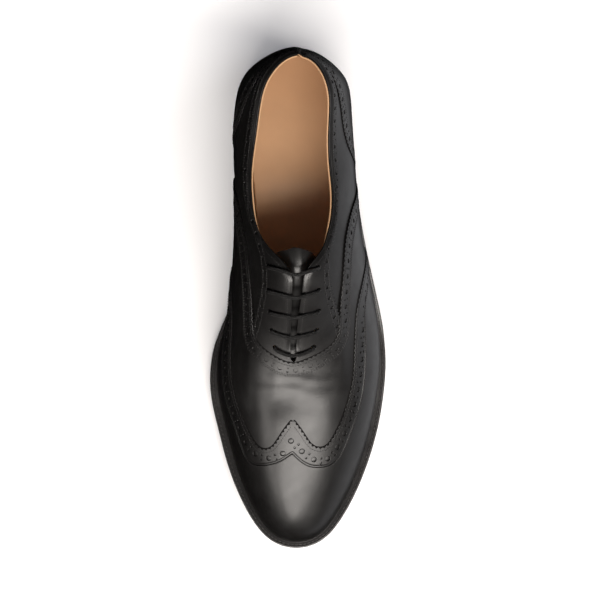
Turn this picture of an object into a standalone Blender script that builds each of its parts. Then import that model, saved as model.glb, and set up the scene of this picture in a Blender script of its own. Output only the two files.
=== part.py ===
"""A full-brogue wing-tip oxford for the left foot: black calf on a welted leather sole.

Metres, +Z up. The toe points to -Y and the heel to +Y, the outer side of the foot lies
at +X and the inner side at -X. The origin is on the floor under the middle of the shoe.

Every piece of the upper is cut from one function, last(u, v): u runs from 0 at the toe
to 1 at the back of the heel, v from -1 at the inner feather line over 0 on the ridge to
1 at the outer feather line. The feather line is where the upper meets the welt.
"""

import math
from typing import NamedTuple

import bmesh
import bpy
import numpy as np
from mathutils import Vector
from mathutils.geometry import delaunay_2d_cdt

# Driving dimensions of the shoe
LENGTH = 0.301
BALL_WIDTH = 0.107
INSTEP_HEIGHT = 0.104
HEEL_PITCH = 0.025
TOE_SPRING = 0.012

# Thicknesses
OUTSOLE = 0.0048
WELT = 0.0028
INSOLE = 0.0030
TOP_LIFT = 0.0060
WALL = 0.0017
OVERLAY = 0.0010
CAP_OVERLAY = 0.0016
TONGUE = 0.0018

# Clearances
GAP = 0.0003
SEAM_GAP = 0.0004
INSOLE_GAP = 0.0009

# Sole: where the toe spring ends, the arch starts and the heel's breast stands
SPRING_END = 0.30
ARCH_START = 0.40
BREAST = 0.755
SPRING_POWER = 1.8
BREAST_DEPTH = 0.006
BREAST_STEPS = 10
HEEL_TAPER = 0.0016
WELT_INSIDE = 0.0060
SOLE_STEPS = 46

# Laces and their holes
LACE_RADIUS = 0.0011
LACE_SIDES = 6
LACE_BEND = 0.0017
EYELET_RADIUS = 0.0020
EYELET_SIDES = 8
LANE = 0.0028
LACE_OVER = 0.0004
LACE_UNDER = 0.0005
BAR_STEPS = 6
SOFT_CORNER = math.radians(15)
ARC_STEP = math.radians(32)
CORNER_SHARE = 0.48

# Flat pattern: scale of u and v in metres, and the size of its net
PATTERN_U = 0.40
PATTERN_V = 0.085
NET_U = 46
NET_V = 11
NET_STEP = 0.0042
EDGE_STEP = 0.0060
FOOT_CLEAR = 0.4
PAST_EDGE = 1.2
FEATHER_ZONE = 0.12
NUDGE = 1e-3
ON_SEAM = 1e-5
SHARP_EDGE = math.radians(40)

# Points of the back seam, from the collar down to the feather line
BACK_POINTS = [0.463, 0.535, 0.62, 0.71, 0.80, 0.90, 1.0]


class Outline(NamedTuple):
    """A station of the sole's outline: half widths in shares of half the ball width."""

    share: float
    inner: float
    outer: float


class Ridge(NamedTuple):
    """A station of the last's ridge: side and height in shares of the driving sizes."""

    share: float
    side: float
    height: float


class Section(NamedTuple):
    """Shape of the cross sections: rise, flare and crown of each side."""

    share: float
    rise_in: float
    rise_out: float
    flare_in: float
    flare_out: float
    crown_in: float
    crown_out: float


SOLE_OUTLINE = [
    Outline(0.0, -0.028, -0.028),
    Outline(0.018, -0.338, 0.284),
    Outline(0.0545, -0.520, 0.473),
    Outline(0.1086, -0.682, 0.650),
    Outline(0.167, -0.806, 0.789),
    Outline(0.2355, -0.908, 0.905),
    Outline(0.2827, -0.970, 0.957),
    Outline(0.326, -1.000, 0.987),
    Outline(0.369, -0.991, 1.000),
    Outline(0.406, -0.950, 0.991),
    Outline(0.446, -0.867, 0.964),
    Outline(0.478, -0.794, 0.927),
    Outline(0.5216, -0.700, 0.867),
    Outline(0.551, -0.645, 0.826),
    Outline(0.631, -0.580, 0.720),
    Outline(0.714, -0.600, 0.645),
    Outline(0.797, -0.645, 0.607),
    Outline(0.870, -0.678, 0.580),
    Outline(0.940, -0.607, 0.510),
    Outline(0.980, -0.385, 0.288),
    Outline(1.0, -0.049, -0.049),
]

# Width of the welt outside the feather line, in metres, at shares of the length
WELT_MARGIN = [(0.0, 0.0050), (0.30, 0.0058), (0.55, 0.0030), (0.75, 0.0020), (1.0, 0.0020)]

# The ridge lies between these shares of the length
RIDGE_START = 0.085
RIDGE_SPAN = 0.775

RIDGE_LINE = [
    Ridge(0.085, -0.055, 0.405),
    Ridge(0.150, -0.075, 0.458),
    Ridge(0.220, -0.095, 0.503),
    Ridge(0.300, -0.110, 0.553),
    Ridge(0.370, -0.120, 0.606),
    Ridge(0.460, -0.120, 0.760),
    Ridge(0.560, -0.112, 0.955),
    Ridge(0.660, -0.112, 0.920),
    Ridge(0.760, -0.100, 0.930),
    Ridge(0.860, -0.080, 1.120),
]
SLOPE_FADE = (0.56, 0.66)

SECTIONS = [
    Section(0.0, 0.50, 0.50, 0.00, 0.00, 0.62, 0.62),
    Section(0.15, 0.48, 0.48, 0.02, 0.02, 0.66, 0.62),
    Section(0.33, 0.45, 0.45, 0.03, 0.03, 0.66, 0.56),
    Section(0.45, 0.40, 0.45, 0.16, 0.02, 0.62, 0.52),
    Section(0.55, 0.35, 0.45, 0.50, 0.01, 0.58, 0.48),
    Section(0.66, 0.36, 0.40, 0.74, 0.08, 0.42, 0.36),
    Section(0.77, 0.36, 0.38, 0.72, 0.14, 0.36, 0.32),
    Section(0.88, 0.34, 0.35, 0.40, 0.08, 0.52, 0.52),
    Section(1.0, 0.33, 0.33, 0.04, 0.00, 1.00, 1.00),
]


# Edge of the opening, from the foot of the throat to the back seam: u, inner v, outer v
THROAT_CENTRE = 0.011
THROAT_FOOT = (0.4265, THROAT_CENTRE)
COLLAR = [
    (0.430, -0.012, 0.028),
    (0.500, -0.024, 0.038),
    (0.556, -0.036, 0.078),
    (0.567, -0.095, 0.104),
    (0.575, -0.200, 0.160),
    (0.581, -0.320, 0.215),
    (0.590, -0.396, 0.290),
    (0.605, -0.443, 0.354),
    (0.628, -0.468, 0.418),
    (0.660, -0.474, 0.446),
    (0.700, -0.460, 0.426),
    (0.760, -0.432, 0.390),
    (0.820, -0.412, 0.362),
    (0.880, -0.420, 0.374),
    (0.940, -0.448, 0.430),
    (1.000, -0.463, 0.463),
]
THROAT_ROWS = 3

# Front line of the wings, inner side then outer side of the centre peak: u, v
CAP_INNER = [
    (0.552, -1.000),
    (0.541, -0.870),
    (0.522, -0.750),
    (0.492, -0.660),
    (0.450, -0.603),
    (0.400, -0.562),
    (0.355, -0.508),
    (0.309, -0.420),
    (0.281, -0.300),
    (0.279, -0.205),
    (0.300, -0.090),
    (0.321, 0.000),
]
CAP_OUTER = [
    (0.321, 0.000),
    (0.296, 0.075),
    (0.277, 0.160),
    (0.279, 0.235),
    (0.312, 0.345),
    (0.348, 0.414),
    (0.400, 0.463),
    (0.458, 0.487),
    (0.499, 0.549),
    (0.527, 0.670),
    (0.545, 0.790),
    (0.568, 1.000),
]

# Rear line of the vamp, which swings under the lacing: u, v
VAMP_LINE = [
    (0.655, -1.000),
    (0.628, -0.760),
    (0.612, -0.655),
    (0.580, -0.550),
    (0.542, -0.468),
    (0.500, -0.398),
    (0.462, -0.335),
    (0.446, -0.240),
    (0.431, -0.120),
    (0.421, THROAT_CENTRE),
    (0.430, 0.120),
    (0.444, 0.240),
    (0.460, 0.322),
    (0.500, 0.377),
    (0.542, 0.449),
    (0.584, 0.533),
    (0.614, 0.645),
    (0.630, 0.760),
    (0.660, 1.000),
]

# Lower line of the facing and of the strip along the collar: u, inner v, outer v
FACING_LINE = [
    (0.450, -0.390, 0.386),
    (0.480, -0.345, 0.350),
    (0.509, -0.318, 0.316),
    (0.535, -0.312, 0.297),
    (0.560, -0.345, 0.308),
    (0.585, -0.424, 0.346),
    (0.606, -0.494, 0.416),
    (0.634, -0.530, 0.478),
    (0.683, -0.530, 0.497),
    (0.735, -0.512, 0.474),
    (0.784, -0.490, 0.442),
    (0.832, -0.474, 0.424),
    (0.880, -0.486, 0.440),
    (0.935, -0.520, 0.500),
    (1.000, -0.535, 0.535),
]

# Front line of the counter, from the strip down to the feather line: u, inner v, outer v
COUNTER_LINE = [
    (0.935, -0.520, 0.500),
    (0.905, -0.522, 0.496),
    (0.870, -0.520, 0.488),
    (0.828, -0.530, 0.505),
    (0.785, -0.580, 0.566),
    (0.740, -0.640, 0.636),
    (0.705, -0.740, 0.736),
    (0.684, -0.860, 0.860),
    (0.668, -1.000, 1.000),
]

# Lace holes from the top row down: inner u and v, outer u and v
EYELETS = [
    (0.556, -0.275, 0.566, 0.210),
    (0.527, -0.250, 0.534, 0.194),
    (0.500, -0.215, 0.504, 0.184),
    (0.474, -0.178, 0.475, 0.167),
    (0.449, -0.136, 0.449, 0.144),
]

# The tongue's edge, from its foot round the outer side: u, v
TONGUE_EDGE = [
    (0.412, 0.010),
    (0.414, 0.110),
    (0.432, 0.215),
    (0.480, 0.268),
    (0.545, 0.290),
    (0.584, 0.252),
    (0.599, 0.150),
    (0.606, 0.000),
    (0.596, -0.160),
    (0.582, -0.280),
    (0.540, -0.330),
    (0.480, -0.285),
    (0.432, -0.205),
    (0.414, -0.100),
    (0.412, 0.010),
]
TONGUE_RISE = (0.414, 0.436)


def curve(places, values):
    """A natural cubic through the values, as a function that reads it at any place."""
    x = np.asarray(places, float)
    y = np.asarray(values, float)
    step = np.diff(x)
    system = np.eye(len(x))
    pull = np.zeros(len(x))
    for i in range(1, len(x) - 1):
        system[i, i - 1 : i + 2] = step[i - 1], 2 * (step[i - 1] + step[i]), step[i]
        pull[i] = 6 * ((y[i + 1] - y[i]) / step[i] - (y[i] - y[i - 1]) / step[i - 1])
    bend = np.linalg.solve(system, pull)

    def read(place):
        at = np.clip(place, x[0], x[-1])
        i = np.clip(np.searchsorted(x, at) - 1, 0, len(x) - 2)
        width = x[i + 1] - x[i]
        left = (x[i + 1] - at) / width
        right = 1 - left
        arch = (left**3 - left) * bend[i] + (right**3 - right) * bend[i + 1]
        return left * y[i] + right * y[i + 1] + arch * width**2 / 6

    return read


def ease(value):
    """Smooth step from 0 to 1."""
    t = np.clip(value, 0, 1)
    return t * t * (3 - 2 * t)


def turn_of(share):
    """The angle along the outline that belongs to a share of the length."""
    return math.acos(1 - 2 * share)


def share_of(turn):
    """The share of the length at an angle along the outline."""
    return (1 - np.cos(turn)) / 2


def closed_outline():
    """Side of the outline at any angle: 0 at the toe, outer side positive, inner negative."""
    loop = []
    for row in SOLE_OUTLINE:
        loop.append((turn_of(row.share), row.outer))
    for row in SOLE_OUTLINE[1:-1]:
        loop.append((2 * math.pi - turn_of(row.share), row.inner))
    loop.sort()
    laps = [(turn + lap * 2 * math.pi, side) for lap in (-1, 0, 1) for turn, side in loop]
    return curve([turn for turn, _ in laps], [side for _, side in laps])


OUTLINE_SIDE = closed_outline()
MARGIN = curve([row[0] for row in WELT_MARGIN], [row[1] for row in WELT_MARGIN])
RIDGE_SIDE = curve([row.share for row in RIDGE_LINE], [row.side for row in RIDGE_LINE])
RIDGE_HEIGHT = curve([row.share for row in RIDGE_LINE], [row.height for row in RIDGE_LINE])
SHAPE = {
    name: curve([row.share for row in SECTIONS], [getattr(row, name) for row in SECTIONS])
    for name in Section._fields[1:]
}


def outline(turn, inset):
    """Plan points of the sole's outline, moved inwards by the inset."""
    turn = np.asarray(turn, float)

    def at(angle):
        side = OUTLINE_SIDE(angle) * BALL_WIDTH / 2
        return np.stack([side, -np.cos(angle) * LENGTH / 2], axis=-1)

    along = at(turn + NUDGE) - at(turn - NUDGE)
    along /= np.linalg.norm(along, axis=-1, keepdims=True)
    inward = np.stack([-along[..., 1], along[..., 0]], axis=-1)
    return at(turn) + inward * np.asarray(inset)[..., None]


def tread(y):
    """Height of the outsole's underside above the floor."""
    share = np.asarray(y) / LENGTH + 0.5
    toe = np.clip((SPRING_END - share) / SPRING_END, 0, 1) ** SPRING_POWER
    arch = ease((share - ARCH_START) / (BREAST - ARCH_START))
    return TOE_SPRING * toe + HEEL_PITCH * arch


def sole_top(y):
    """Height of the outsole's upper face."""
    return tread(y) + OUTSOLE


def welt_top(y):
    """Height of the welt's upper face."""
    return sole_top(y) + GAP + WELT


def last(u, v):
    """Points of the last's surface, which is the upper's base line in the leather."""
    u, v = np.broadcast_arrays(np.asarray(u, float), np.asarray(v, float))
    side = np.where(v < 0, -1.0, 1.0) * np.where((u < 0) | (u > 1), -1.0, 1.0)
    u = np.abs(u)
    u = np.where(u > 1, 2 - u, u)
    turn = side * math.pi * u
    share = share_of(turn)
    foot = outline(turn, MARGIN(share))
    foot_z = welt_top(foot[..., 1]) + GAP

    at = RIDGE_START + RIDGE_SPAN * share
    top = np.stack([RIDGE_SIDE(at) * BALL_WIDTH / 2, (at - 0.5) * LENGTH], axis=-1)
    top_z = RIDGE_HEIGHT(at) * INSTEP_HEIGHT
    held = np.clip(at, RIDGE_START + NUDGE, RIDGE_START + RIDGE_SPAN - NUDGE)
    rise = (RIDGE_HEIGHT(held + NUDGE) - RIDGE_HEIGHT(held - NUDGE)) * INSTEP_HEIGHT
    slope = rise / (2 * NUDGE * LENGTH)
    slope = slope * (1 - ease((at - SLOPE_FADE[0]) / (SLOPE_FADE[1] - SLOPE_FADE[0])))

    out = foot - top
    reach = np.linalg.norm(out, axis=-1)
    out = out / reach[..., None]
    half = BALL_WIDTH / 2
    lift = np.where(side < 0, SHAPE["rise_in"](share), SHAPE["rise_out"](share))
    flare = np.where(side < 0, SHAPE["flare_in"](share), SHAPE["flare_out"](share)) * half
    crown = np.where(side < 0, SHAPE["crown_in"](share), SHAPE["crown_out"](share))

    t = 1 - np.abs(v)
    b0, b1, b2, b3 = (1 - t) ** 3, 3 * t * (1 - t) ** 2, 3 * t * t * (1 - t), t**3
    radius = b0 * reach + b1 * (reach + flare) + b2 * crown * reach
    height = top_z - foot_z
    crown_z = top_z + slope * out[..., 1] * crown * reach
    z = b0 * foot_z + b1 * (foot_z + lift * height) + b2 * crown_z + b3 * top_z
    plan = top + out * radius[..., None]
    return np.concatenate([plan, z[..., None]], axis=-1)


def outward(u, v):
    """Unit normals of the last's surface, level with the floor along the feather line."""
    u, v = np.broadcast_arrays(np.asarray(u, float), np.asarray(v, float))
    u = np.where(np.abs(v) < 0.02, np.clip(u, 0.01, 0.99), u)
    along = last(u + NUDGE, v) - last(u - NUDGE, v)
    across = last(u, v + NUDGE) - last(u, v - NUDGE)
    normal = np.cross(across, along)
    low = ease((np.abs(v) - 1 + FEATHER_ZONE) / FEATHER_ZONE)
    normal /= np.linalg.norm(normal, axis=-1, keepdims=True)
    normal[..., 2] *= 1 - low
    return normal / np.linalg.norm(normal, axis=-1, keepdims=True)


def skin(u, v, height):
    """Points at a height above the last's surface, which keep to the welt at the feather."""
    base = last(u, v)
    moved = base + outward(u, v) * np.asarray(height)[..., None]
    low = ease((np.abs(v) - 1 + FEATHER_ZONE) / FEATHER_ZONE)
    moved[..., 2] += low * (welt_top(moved[..., 1]) - welt_top(base[..., 1]))
    return moved


def trace(points, step):
    """A smooth line through pattern points, sampled at about the step given in metres."""
    path = np.asarray(points, float)
    legs = np.hypot(np.diff(path[:, 0]) * PATTERN_U, np.diff(path[:, 1]) * PATTERN_V)
    run = np.concatenate([[0], np.cumsum(legs)])
    count = max(2, math.ceil(run[-1] / step)) + 1
    at = np.linspace(0, run[-1], count)
    return np.stack([curve(run, path[:, 0])(at), curve(run, path[:, 1])(at)], axis=-1)


def side_of(rows, column):
    """One side's line from a table whose rows hold u, inner v and outer v."""
    return [(row[0], row[column]) for row in rows]


def inside(polygon, points):
    """Whether each pattern point lies in the closed polygon."""
    found = np.zeros(len(points), bool)
    u, v = points[:, 0], points[:, 1]
    for (u0, v0), (u1, v1) in zip(polygon, np.roll(polygon, -1, axis=0)):
        spans = (v0 > v) != (v1 > v)
        rise = np.where(v1 == v0, 1.0, v1 - v0)
        found ^= spans & (u < (u1 - u0) * (v - v0) / rise + u0)
    return found


def stretch(u, v):
    """Metres on the last for each unit of u and of v."""
    along = last(u + NUDGE, v) - last(u - NUDGE, v)
    across = last(u, v + NUDGE) - last(u, v - NUDGE)
    return np.linalg.norm(along) / (2 * NUDGE), np.linalg.norm(across) / (2 * NUDGE)


def eyelet_ring(u, v):
    """Pattern points round a lace hole of the right size on the last."""
    per_u, per_v = stretch(u, v)
    angles = (np.arange(EYELET_SIDES) + 0.5) * 2 * math.pi / EYELET_SIDES
    ring_u = u + np.cos(angles) * EYELET_RADIUS / per_u
    ring_v = v + np.sin(angles) * EYELET_RADIUS / per_v
    return np.stack([ring_u, ring_v], axis=-1)


def mesh_pattern(border, lines, holes):
    """Triangulate a flat pattern: its points, and its triangles inside the border."""
    points = [tuple(row) for row in border]
    edges = [(i, (i + 1) % len(points)) for i in range(len(points))]
    for line in lines:
        first = len(points)
        points += [tuple(row) for row in line]
        edges += [(first + i, first + i + 1) for i in range(len(line) - 1)]
    for ring in holes:
        first = len(points)
        points += [tuple(row) for row in ring]
        edges += [(first + i, first + (i + 1) % len(ring)) for i in range(len(ring))]
    taken = list(last(*np.asarray(points).T))
    scale = np.array([PATTERN_U, PATTERN_V]) * 1000
    net_u = np.arange(1, NET_U) / NET_U
    net_v = np.arange(-NET_V + 1, NET_V) / NET_V
    for i, u in enumerate(net_u):
        shift = 0.5 / NET_V if i % 2 else 0.0
        for v in net_v + shift:
            place = last(u, v)
            near = np.linalg.norm(np.asarray(taken) - place, axis=1).min()
            if abs(v) < 1 - FOOT_CLEAR / NET_V and near > NET_STEP:
                points.append((u, v))
                taken.append(place)
    flat = [Vector((v * scale[1], u * scale[0])) for u, v in points]
    out = delaunay_2d_cdt(flat, edges, [], 0, 1e-5)
    spots = np.array([(p.y / scale[0], p.x / scale[1]) for p in out[0]])
    faces = np.array([tuple(face) for face in out[2]])
    middles = spots[faces].mean(axis=1)
    keep = inside(np.asarray(border), middles)
    for ring in holes:
        keep &= ~inside(np.asarray(ring), middles)
    return spots, faces[keep]


def solid(name, points, faces, material):
    """Make an object of a closed mesh."""
    mesh = bpy.data.meshes.new(name)
    mesh.from_pydata([tuple(map(float, point)) for point in points], [], faces)
    work = bmesh.new()
    work.from_mesh(mesh)
    bmesh.ops.triangulate(work, faces=work.faces)
    bmesh.ops.recalc_face_normals(work, faces=work.faces)
    work.to_mesh(mesh)
    work.free()
    mesh.shade_smooth()
    mesh.set_sharp_from_angle(angle=SHARP_EDGE)
    mesh.materials.append(material)
    item = bpy.data.objects.new(name, mesh)
    bpy.context.scene.collection.objects.link(item)
    return item


def leather(name, spots, faces, low, high, trim, material):
    """A sheet of leather over the last between two heights, its cut edges trimmed back."""
    keys = {}
    same = np.arange(len(spots))
    for i, (u, v) in enumerate(spots):
        seam = u < ON_SEAM or u > 1 - ON_SEAM
        key = (round(u, 3), round(abs(v), 3)) if seam else (i,)
        same[i] = keys.setdefault(key, i)
    faces = same[faces]
    used, local = np.unique(faces, return_inverse=True)
    faces = local.reshape(faces.shape)
    u, v = spots[used, 0], spots[used, 1]

    count = {}
    for face in faces:
        for a, b in zip(face, np.roll(face, -1)):
            count[(a, b)] = count.get((a, b), 0) + 1
    rim = [(a, b) for a, b in count if (b, a) not in count]
    after = {a: b for a, b in rim}
    before = {b: a for a, b in rim}

    normal = outward(u, v)
    base = skin(u, v, np.zeros(len(u)))
    move = np.zeros_like(base)
    for here in after:
        back, ahead = before[here], after[here]
        foot = [abs(v[i]) > 1 - ON_SEAM for i in (back, here, ahead)]
        if all(foot):
            continue
        if foot[1]:
            along = base[back if foot[0] else ahead] - base[here]
            move[here] = along / np.linalg.norm(along) * trim
            continue
        along = base[ahead] - base[back]
        inward = np.cross(normal[here], along)
        move[here] = inward / np.linalg.norm(inward) * trim
    top = skin(u, v, high(u, v)) + move
    under = skin(u, v, low(u, v)) + move

    shift = len(u)
    shell = [tuple(face) for face in faces]
    shell += [(c + shift, b + shift, a + shift) for a, b, c in faces]
    shell += [(b, a, a + shift, b + shift) for a, b in rim]
    return solid(name, np.concatenate([top, under]), shell, material)


def level(height):
    """A height above the last that is the same everywhere."""
    return lambda u, v: np.full(len(u), height)


def sole_ring(inset):
    """Plan points round the sole, in order from the toe over the outer side."""
    turns = np.arange(2 * SOLE_STEPS) * math.pi / SOLE_STEPS
    return outline(turns, inset(share_of(turns)))


def ladder(ring, first):
    """Faces that fill a ring made by sole_ring, rung by rung across the sole."""
    count = len(ring)
    faces = [(first, first + 1, first + count - 1)]
    for i in range(1, count // 2 - 1):
        faces.append((first + i, first + i + 1, first + count - i - 1, first + count - i))
    half = count // 2
    faces.append((first + half - 1, first + half, first + half + 1))
    return faces


def plate(name, inset, low, high, material):
    """A plate over the whole sole between two heights that follow its profile."""
    ring = sole_ring(inset)
    count = len(ring)
    under = np.column_stack([ring, low(ring[:, 1])])
    top = np.column_stack([ring, high(ring[:, 1])])
    faces = ladder(ring, 0) + ladder(ring, count)
    for i in range(count):
        j = (i + 1) % count
        faces.append((i, j, count + j, count + i))
    return solid(name, np.concatenate([under, top]), faces, material)


def band(name, outer, inner, low, high, material):
    """A ring round the sole between two insets and two heights."""
    rings = [sole_ring(outer), sole_ring(inner)]
    count = len(rings[0])
    points = [np.column_stack([ring, z(ring[:, 1])]) for z in (low, high) for ring in rings]
    faces = []
    for a, b in ((0, 1), (1, 3), (3, 2), (2, 0)):
        for i in range(count):
            j = (i + 1) % count
            faces.append((a * count + i, a * count + j, b * count + j, b * count + i))
    return solid(name, np.concatenate(points), faces, material)


def heel_ring(inset):
    """Plan points of a heel lift: round the back, then along the hollow breast."""
    corner = turn_of(BREAST)
    turns = np.linspace(corner, 2 * math.pi - corner, SOLE_STEPS)
    back = outline(turns, np.full(len(turns), inset))
    across = np.linspace(0, 1, BREAST_STEPS)[1:-1, None]
    front = back[-1] + (back[0] - back[-1]) * across
    front[:, 1] += BREAST_DEPTH * np.sin(math.pi * across[:, 0])
    return np.concatenate([back, front])


def lift(name, low_inset, low, high_inset, high, material):
    """A flat heel piece whose outline may taper between its lower and upper face."""
    under = heel_ring(low_inset)
    top = heel_ring(high_inset)
    count = len(under)
    points = [(x, y, low) for x, y in under] + [(x, y, high) for x, y in top]
    faces = [tuple(range(count)), tuple(range(count, 2 * count))]
    for i in range(count):
        j = (i + 1) % count
        faces.append((i, j, count + j, count + i))
    return solid(name, points, faces, material)


def round_off(points, radius):
    """A path through the points with its sharp corners rounded to the radius."""
    path = [points[0]]
    for back, here, ahead in zip(points, points[1:], points[2:]):
        arrive = (here - back) / np.linalg.norm(here - back)
        leave = (ahead - here) / np.linalg.norm(ahead - here)
        angle = math.acos(np.clip(arrive @ leave, -1, 1))
        if angle < SOFT_CORNER:
            path.append(here)
            continue
        legs = np.linalg.norm(here - back), np.linalg.norm(ahead - here)
        room = CORNER_SHARE * min(legs)
        cut = min(radius * math.tan(angle / 2), room)
        bend = cut / math.tan(angle / 2)
        middle = leave - arrive
        centre = here + middle / np.linalg.norm(middle) * bend / math.cos(angle / 2)
        start, end = here - arrive * cut - centre, here + leave * cut - centre
        steps = max(2, math.ceil(angle / ARC_STEP))
        for i in range(steps + 1):
            part = i / steps
            weights = math.sin((1 - part) * angle), math.sin(part * angle)
            path.append(centre + (start * weights[0] + end * weights[1]) / math.sin(angle))
    path.append(points[-1])
    return path


def tube(name, path, radius, sides, material):
    """A round cord along the path, with flat ends."""
    path = np.asarray(path)
    along = np.gradient(path, axis=0)
    along /= np.linalg.norm(along, axis=1, keepdims=True)
    side = np.cross(along[0], (0.0, 0.0, 1.0))
    points = []
    for here, direction in zip(path, along):
        side = side - direction * (side @ direction)
        side /= np.linalg.norm(side)
        other = np.cross(direction, side)
        for i in range(sides):
            angle = 2 * math.pi * i / sides
            points.append(here + radius * (side * math.cos(angle) + other * math.sin(angle)))
    faces = [tuple(range(sides)), tuple(range(len(points) - sides, len(points)))]
    for ring in range(len(path) - 1):
        for i in range(sides):
            j = (i + 1) % sides
            first, second = ring * sides, (ring + 1) * sides
            faces.append((first + i, first + j, second + j, second + i))
    return solid(name, points, faces, material)


def lace_points():
    """The lace's route: straight bars outside, and runs inside from row to row."""
    inner, outer = 0, 2
    over = GAP + OVERLAY + LACE_OVER + LACE_RADIUS
    below = -(WALL + LACE_UNDER + LACE_RADIUS)

    def spot(row, side, lane, height):
        """A point by a lace hole; rows count from 0 at the top, and may lie between."""
        rows = range(len(EYELETS))
        u = np.interp(row, rows, [hole[side] for hole in EYELETS])
        v = np.interp(row, rows, [hole[side + 1] for hole in EYELETS])
        aside = -lane if side == inner else lane
        return u, v + aside * LANE / stretch(u, v)[1], height

    def bar(row, start):
        """Out of one hole, across the throat and down the other."""
        end = outer if start == inner else inner
        first, final = spot(row, start, 0, over), spot(row, end, 0, over)
        across = [
            tuple(a + (b - a) * i / BAR_STEPS for a, b in zip(first, final))
            for i in range(BAR_STEPS + 1)
        ]
        return across

    route = [spot(-0.1, inner, 1, below), spot(0.5, inner, 1, below), spot(1, inner, 0, below)]
    route += bar(1, inner) + [spot(1, outer, 0, below)]
    route += [spot(1.6, outer, 1, below), spot(2, outer, 1, below), spot(3, outer, 0, below)]
    route += bar(3, outer) + [spot(3, inner, 0, below), spot(4, inner, 0, below)]
    route += bar(4, inner) + [spot(4, outer, 0, below)]
    route += [spot(3.4, outer, -1, below), spot(3, outer, -1, below), spot(2, outer, 0, below)]
    route += bar(2, outer) + [spot(2, inner, 0, below)]
    route += [spot(1.4, inner, -1, below), spot(1, inner, -1, below), spot(0, inner, 0, below)]
    route += bar(0, inner) + [spot(0, outer, 0, below), spot(0.45, outer, 0, below)]
    return [skin(u, v, height) for u, v, height in route]


def finish(name, colour, roughness, metallic=0.0):
    """A plain material with a colour, a roughness and a metallic value."""
    material = bpy.data.materials.new(name)
    material.use_nodes = True
    shader = material.node_tree.nodes["Principled BSDF"]
    shader.inputs["Base Color"].default_value = (*colour, 1.0)
    shader.inputs["Roughness"].default_value = roughness
    shader.inputs["Metallic"].default_value = metallic
    return material


def build_sole(edge_leather, rubber, sock_leather):
    """Outsole, welt, heel and insole, stacked with a small gap between neighbours."""

    def flush(share):
        return np.zeros_like(share)

    def under_upper(share):
        return MARGIN(share) + WELT_INSIDE

    def in_upper(share):
        return MARGIN(share) + WALL + INSOLE_GAP

    pieces = [
        plate("outsole", flush, tread, sole_top, edge_leather),
        band(
            "welt", flush, under_upper, lambda y: sole_top(y) + GAP, welt_top, edge_leather
        ),
        plate(
            "insole",
            in_upper,
            lambda y: welt_top(y) + GAP,
            lambda y: welt_top(y) + GAP + INSOLE,
            sock_leather,
        ),
        lift(
            "heel_stack",
            HEEL_TAPER,
            TOP_LIFT + GAP,
            0.0,
            HEEL_PITCH - GAP,
            edge_leather,
        ),
        lift("top_lift", HEEL_TAPER, 0.0, HEEL_TAPER, TOP_LIFT, rubber),
    ]
    return pieces


def upper_border():
    """The flat pattern's edge: feather lines, back seam, collar, throat and toe fold."""
    rims = []
    for column in (1, 2):
        rows = side_of(COLLAR, column)
        slit = trace(rows[:THROAT_ROWS], EDGE_STEP)
        rim = trace(rows[THROAT_ROWS - 1 :], EDGE_STEP)
        rims.append([tuple(spot) for spot in slit] + [tuple(spot) for spot in rim[1:]])
    border = [(i / NET_U, -1.0) for i in range(NET_U)]
    border += [(1.0, -v) for v in BACK_POINTS[:0:-1]]
    border += rims[0][::-1] + [THROAT_FOOT] + rims[1]
    border += [(1.0, v) for v in BACK_POINTS[1:]]
    border += [(i / NET_U, 1.0) for i in range(NET_U - 1, -1, -1)]
    border += [(0.0, i / NET_V) for i in range(NET_V - 1, -NET_V, -1)]
    return border


def build_upper(calf):
    """The hollow upper and the overlays cut from the same flat pattern."""
    border = upper_border()
    cap = np.concatenate([trace(CAP_INNER, EDGE_STEP), trace(CAP_OUTER, EDGE_STEP)[1:]])
    vamp = trace(VAMP_LINE, EDGE_STEP)
    facings = [trace(side_of(FACING_LINE, column), EDGE_STEP) for column in (1, 2)]
    counters = [trace(side_of(COUNTER_LINE, column), EDGE_STEP) for column in (1, 2)]
    centre = [min(VAMP_LINE), THROAT_FOOT]
    holes = [eyelet_ring(row[at], row[at + 1]) for row in EYELETS for at in (0, 2)]
    lines = [cap, vamp, centre] + facings + counters
    spots, faces = mesh_pattern(border, lines, holes)
    middles = spots[faces].mean(axis=1)

    ahead = [(-PAST_EDGE, 1), (-PAST_EDGE, -1)]
    in_cap = inside(np.concatenate([cap, ahead]), middles)
    in_vamp = inside(np.concatenate([vamp, ahead]), middles) & ~in_cap
    free = ~(in_cap | in_vamp)
    in_facing = []
    for line in facings:
        start, edge = line[0]
        close = [(1.0, THROAT_CENTRE), (start, THROAT_CENTRE)]
        close += [(min(VAMP_LINE)[0], THROAT_CENTRE), (min(VAMP_LINE)[0], edge)]
        in_facing.append(inside(np.concatenate([line, close]), middles) & free)
        free &= ~in_facing[-1]
    in_counter = np.zeros(len(faces), bool)
    for line, sign in zip(counters, (-1, 1)):
        behind = [(PAST_EDGE, sign), (PAST_EDGE, line[0][1])]
        in_counter |= inside(np.concatenate([line, behind]), middles) & free

    over, outer = level(GAP), level(GAP + OVERLAY)
    pieces = [leather("upper", spots, faces, level(-WALL), level(0.0), 0.0, calf)]
    trim = SEAM_GAP / 2
    panels = [
        ("wing_cap", in_cap, level(GAP + CAP_OVERLAY)),
        ("vamp", in_vamp, outer),
        ("facing_medial", in_facing[0], outer),
        ("facing_lateral", in_facing[1], outer),
        ("heel_counter", in_counter, outer),
    ]
    for name, chosen, high in panels:
        pieces.append(leather(name, spots, faces[chosen], over, high, trim, calf))
    return pieces


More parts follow.
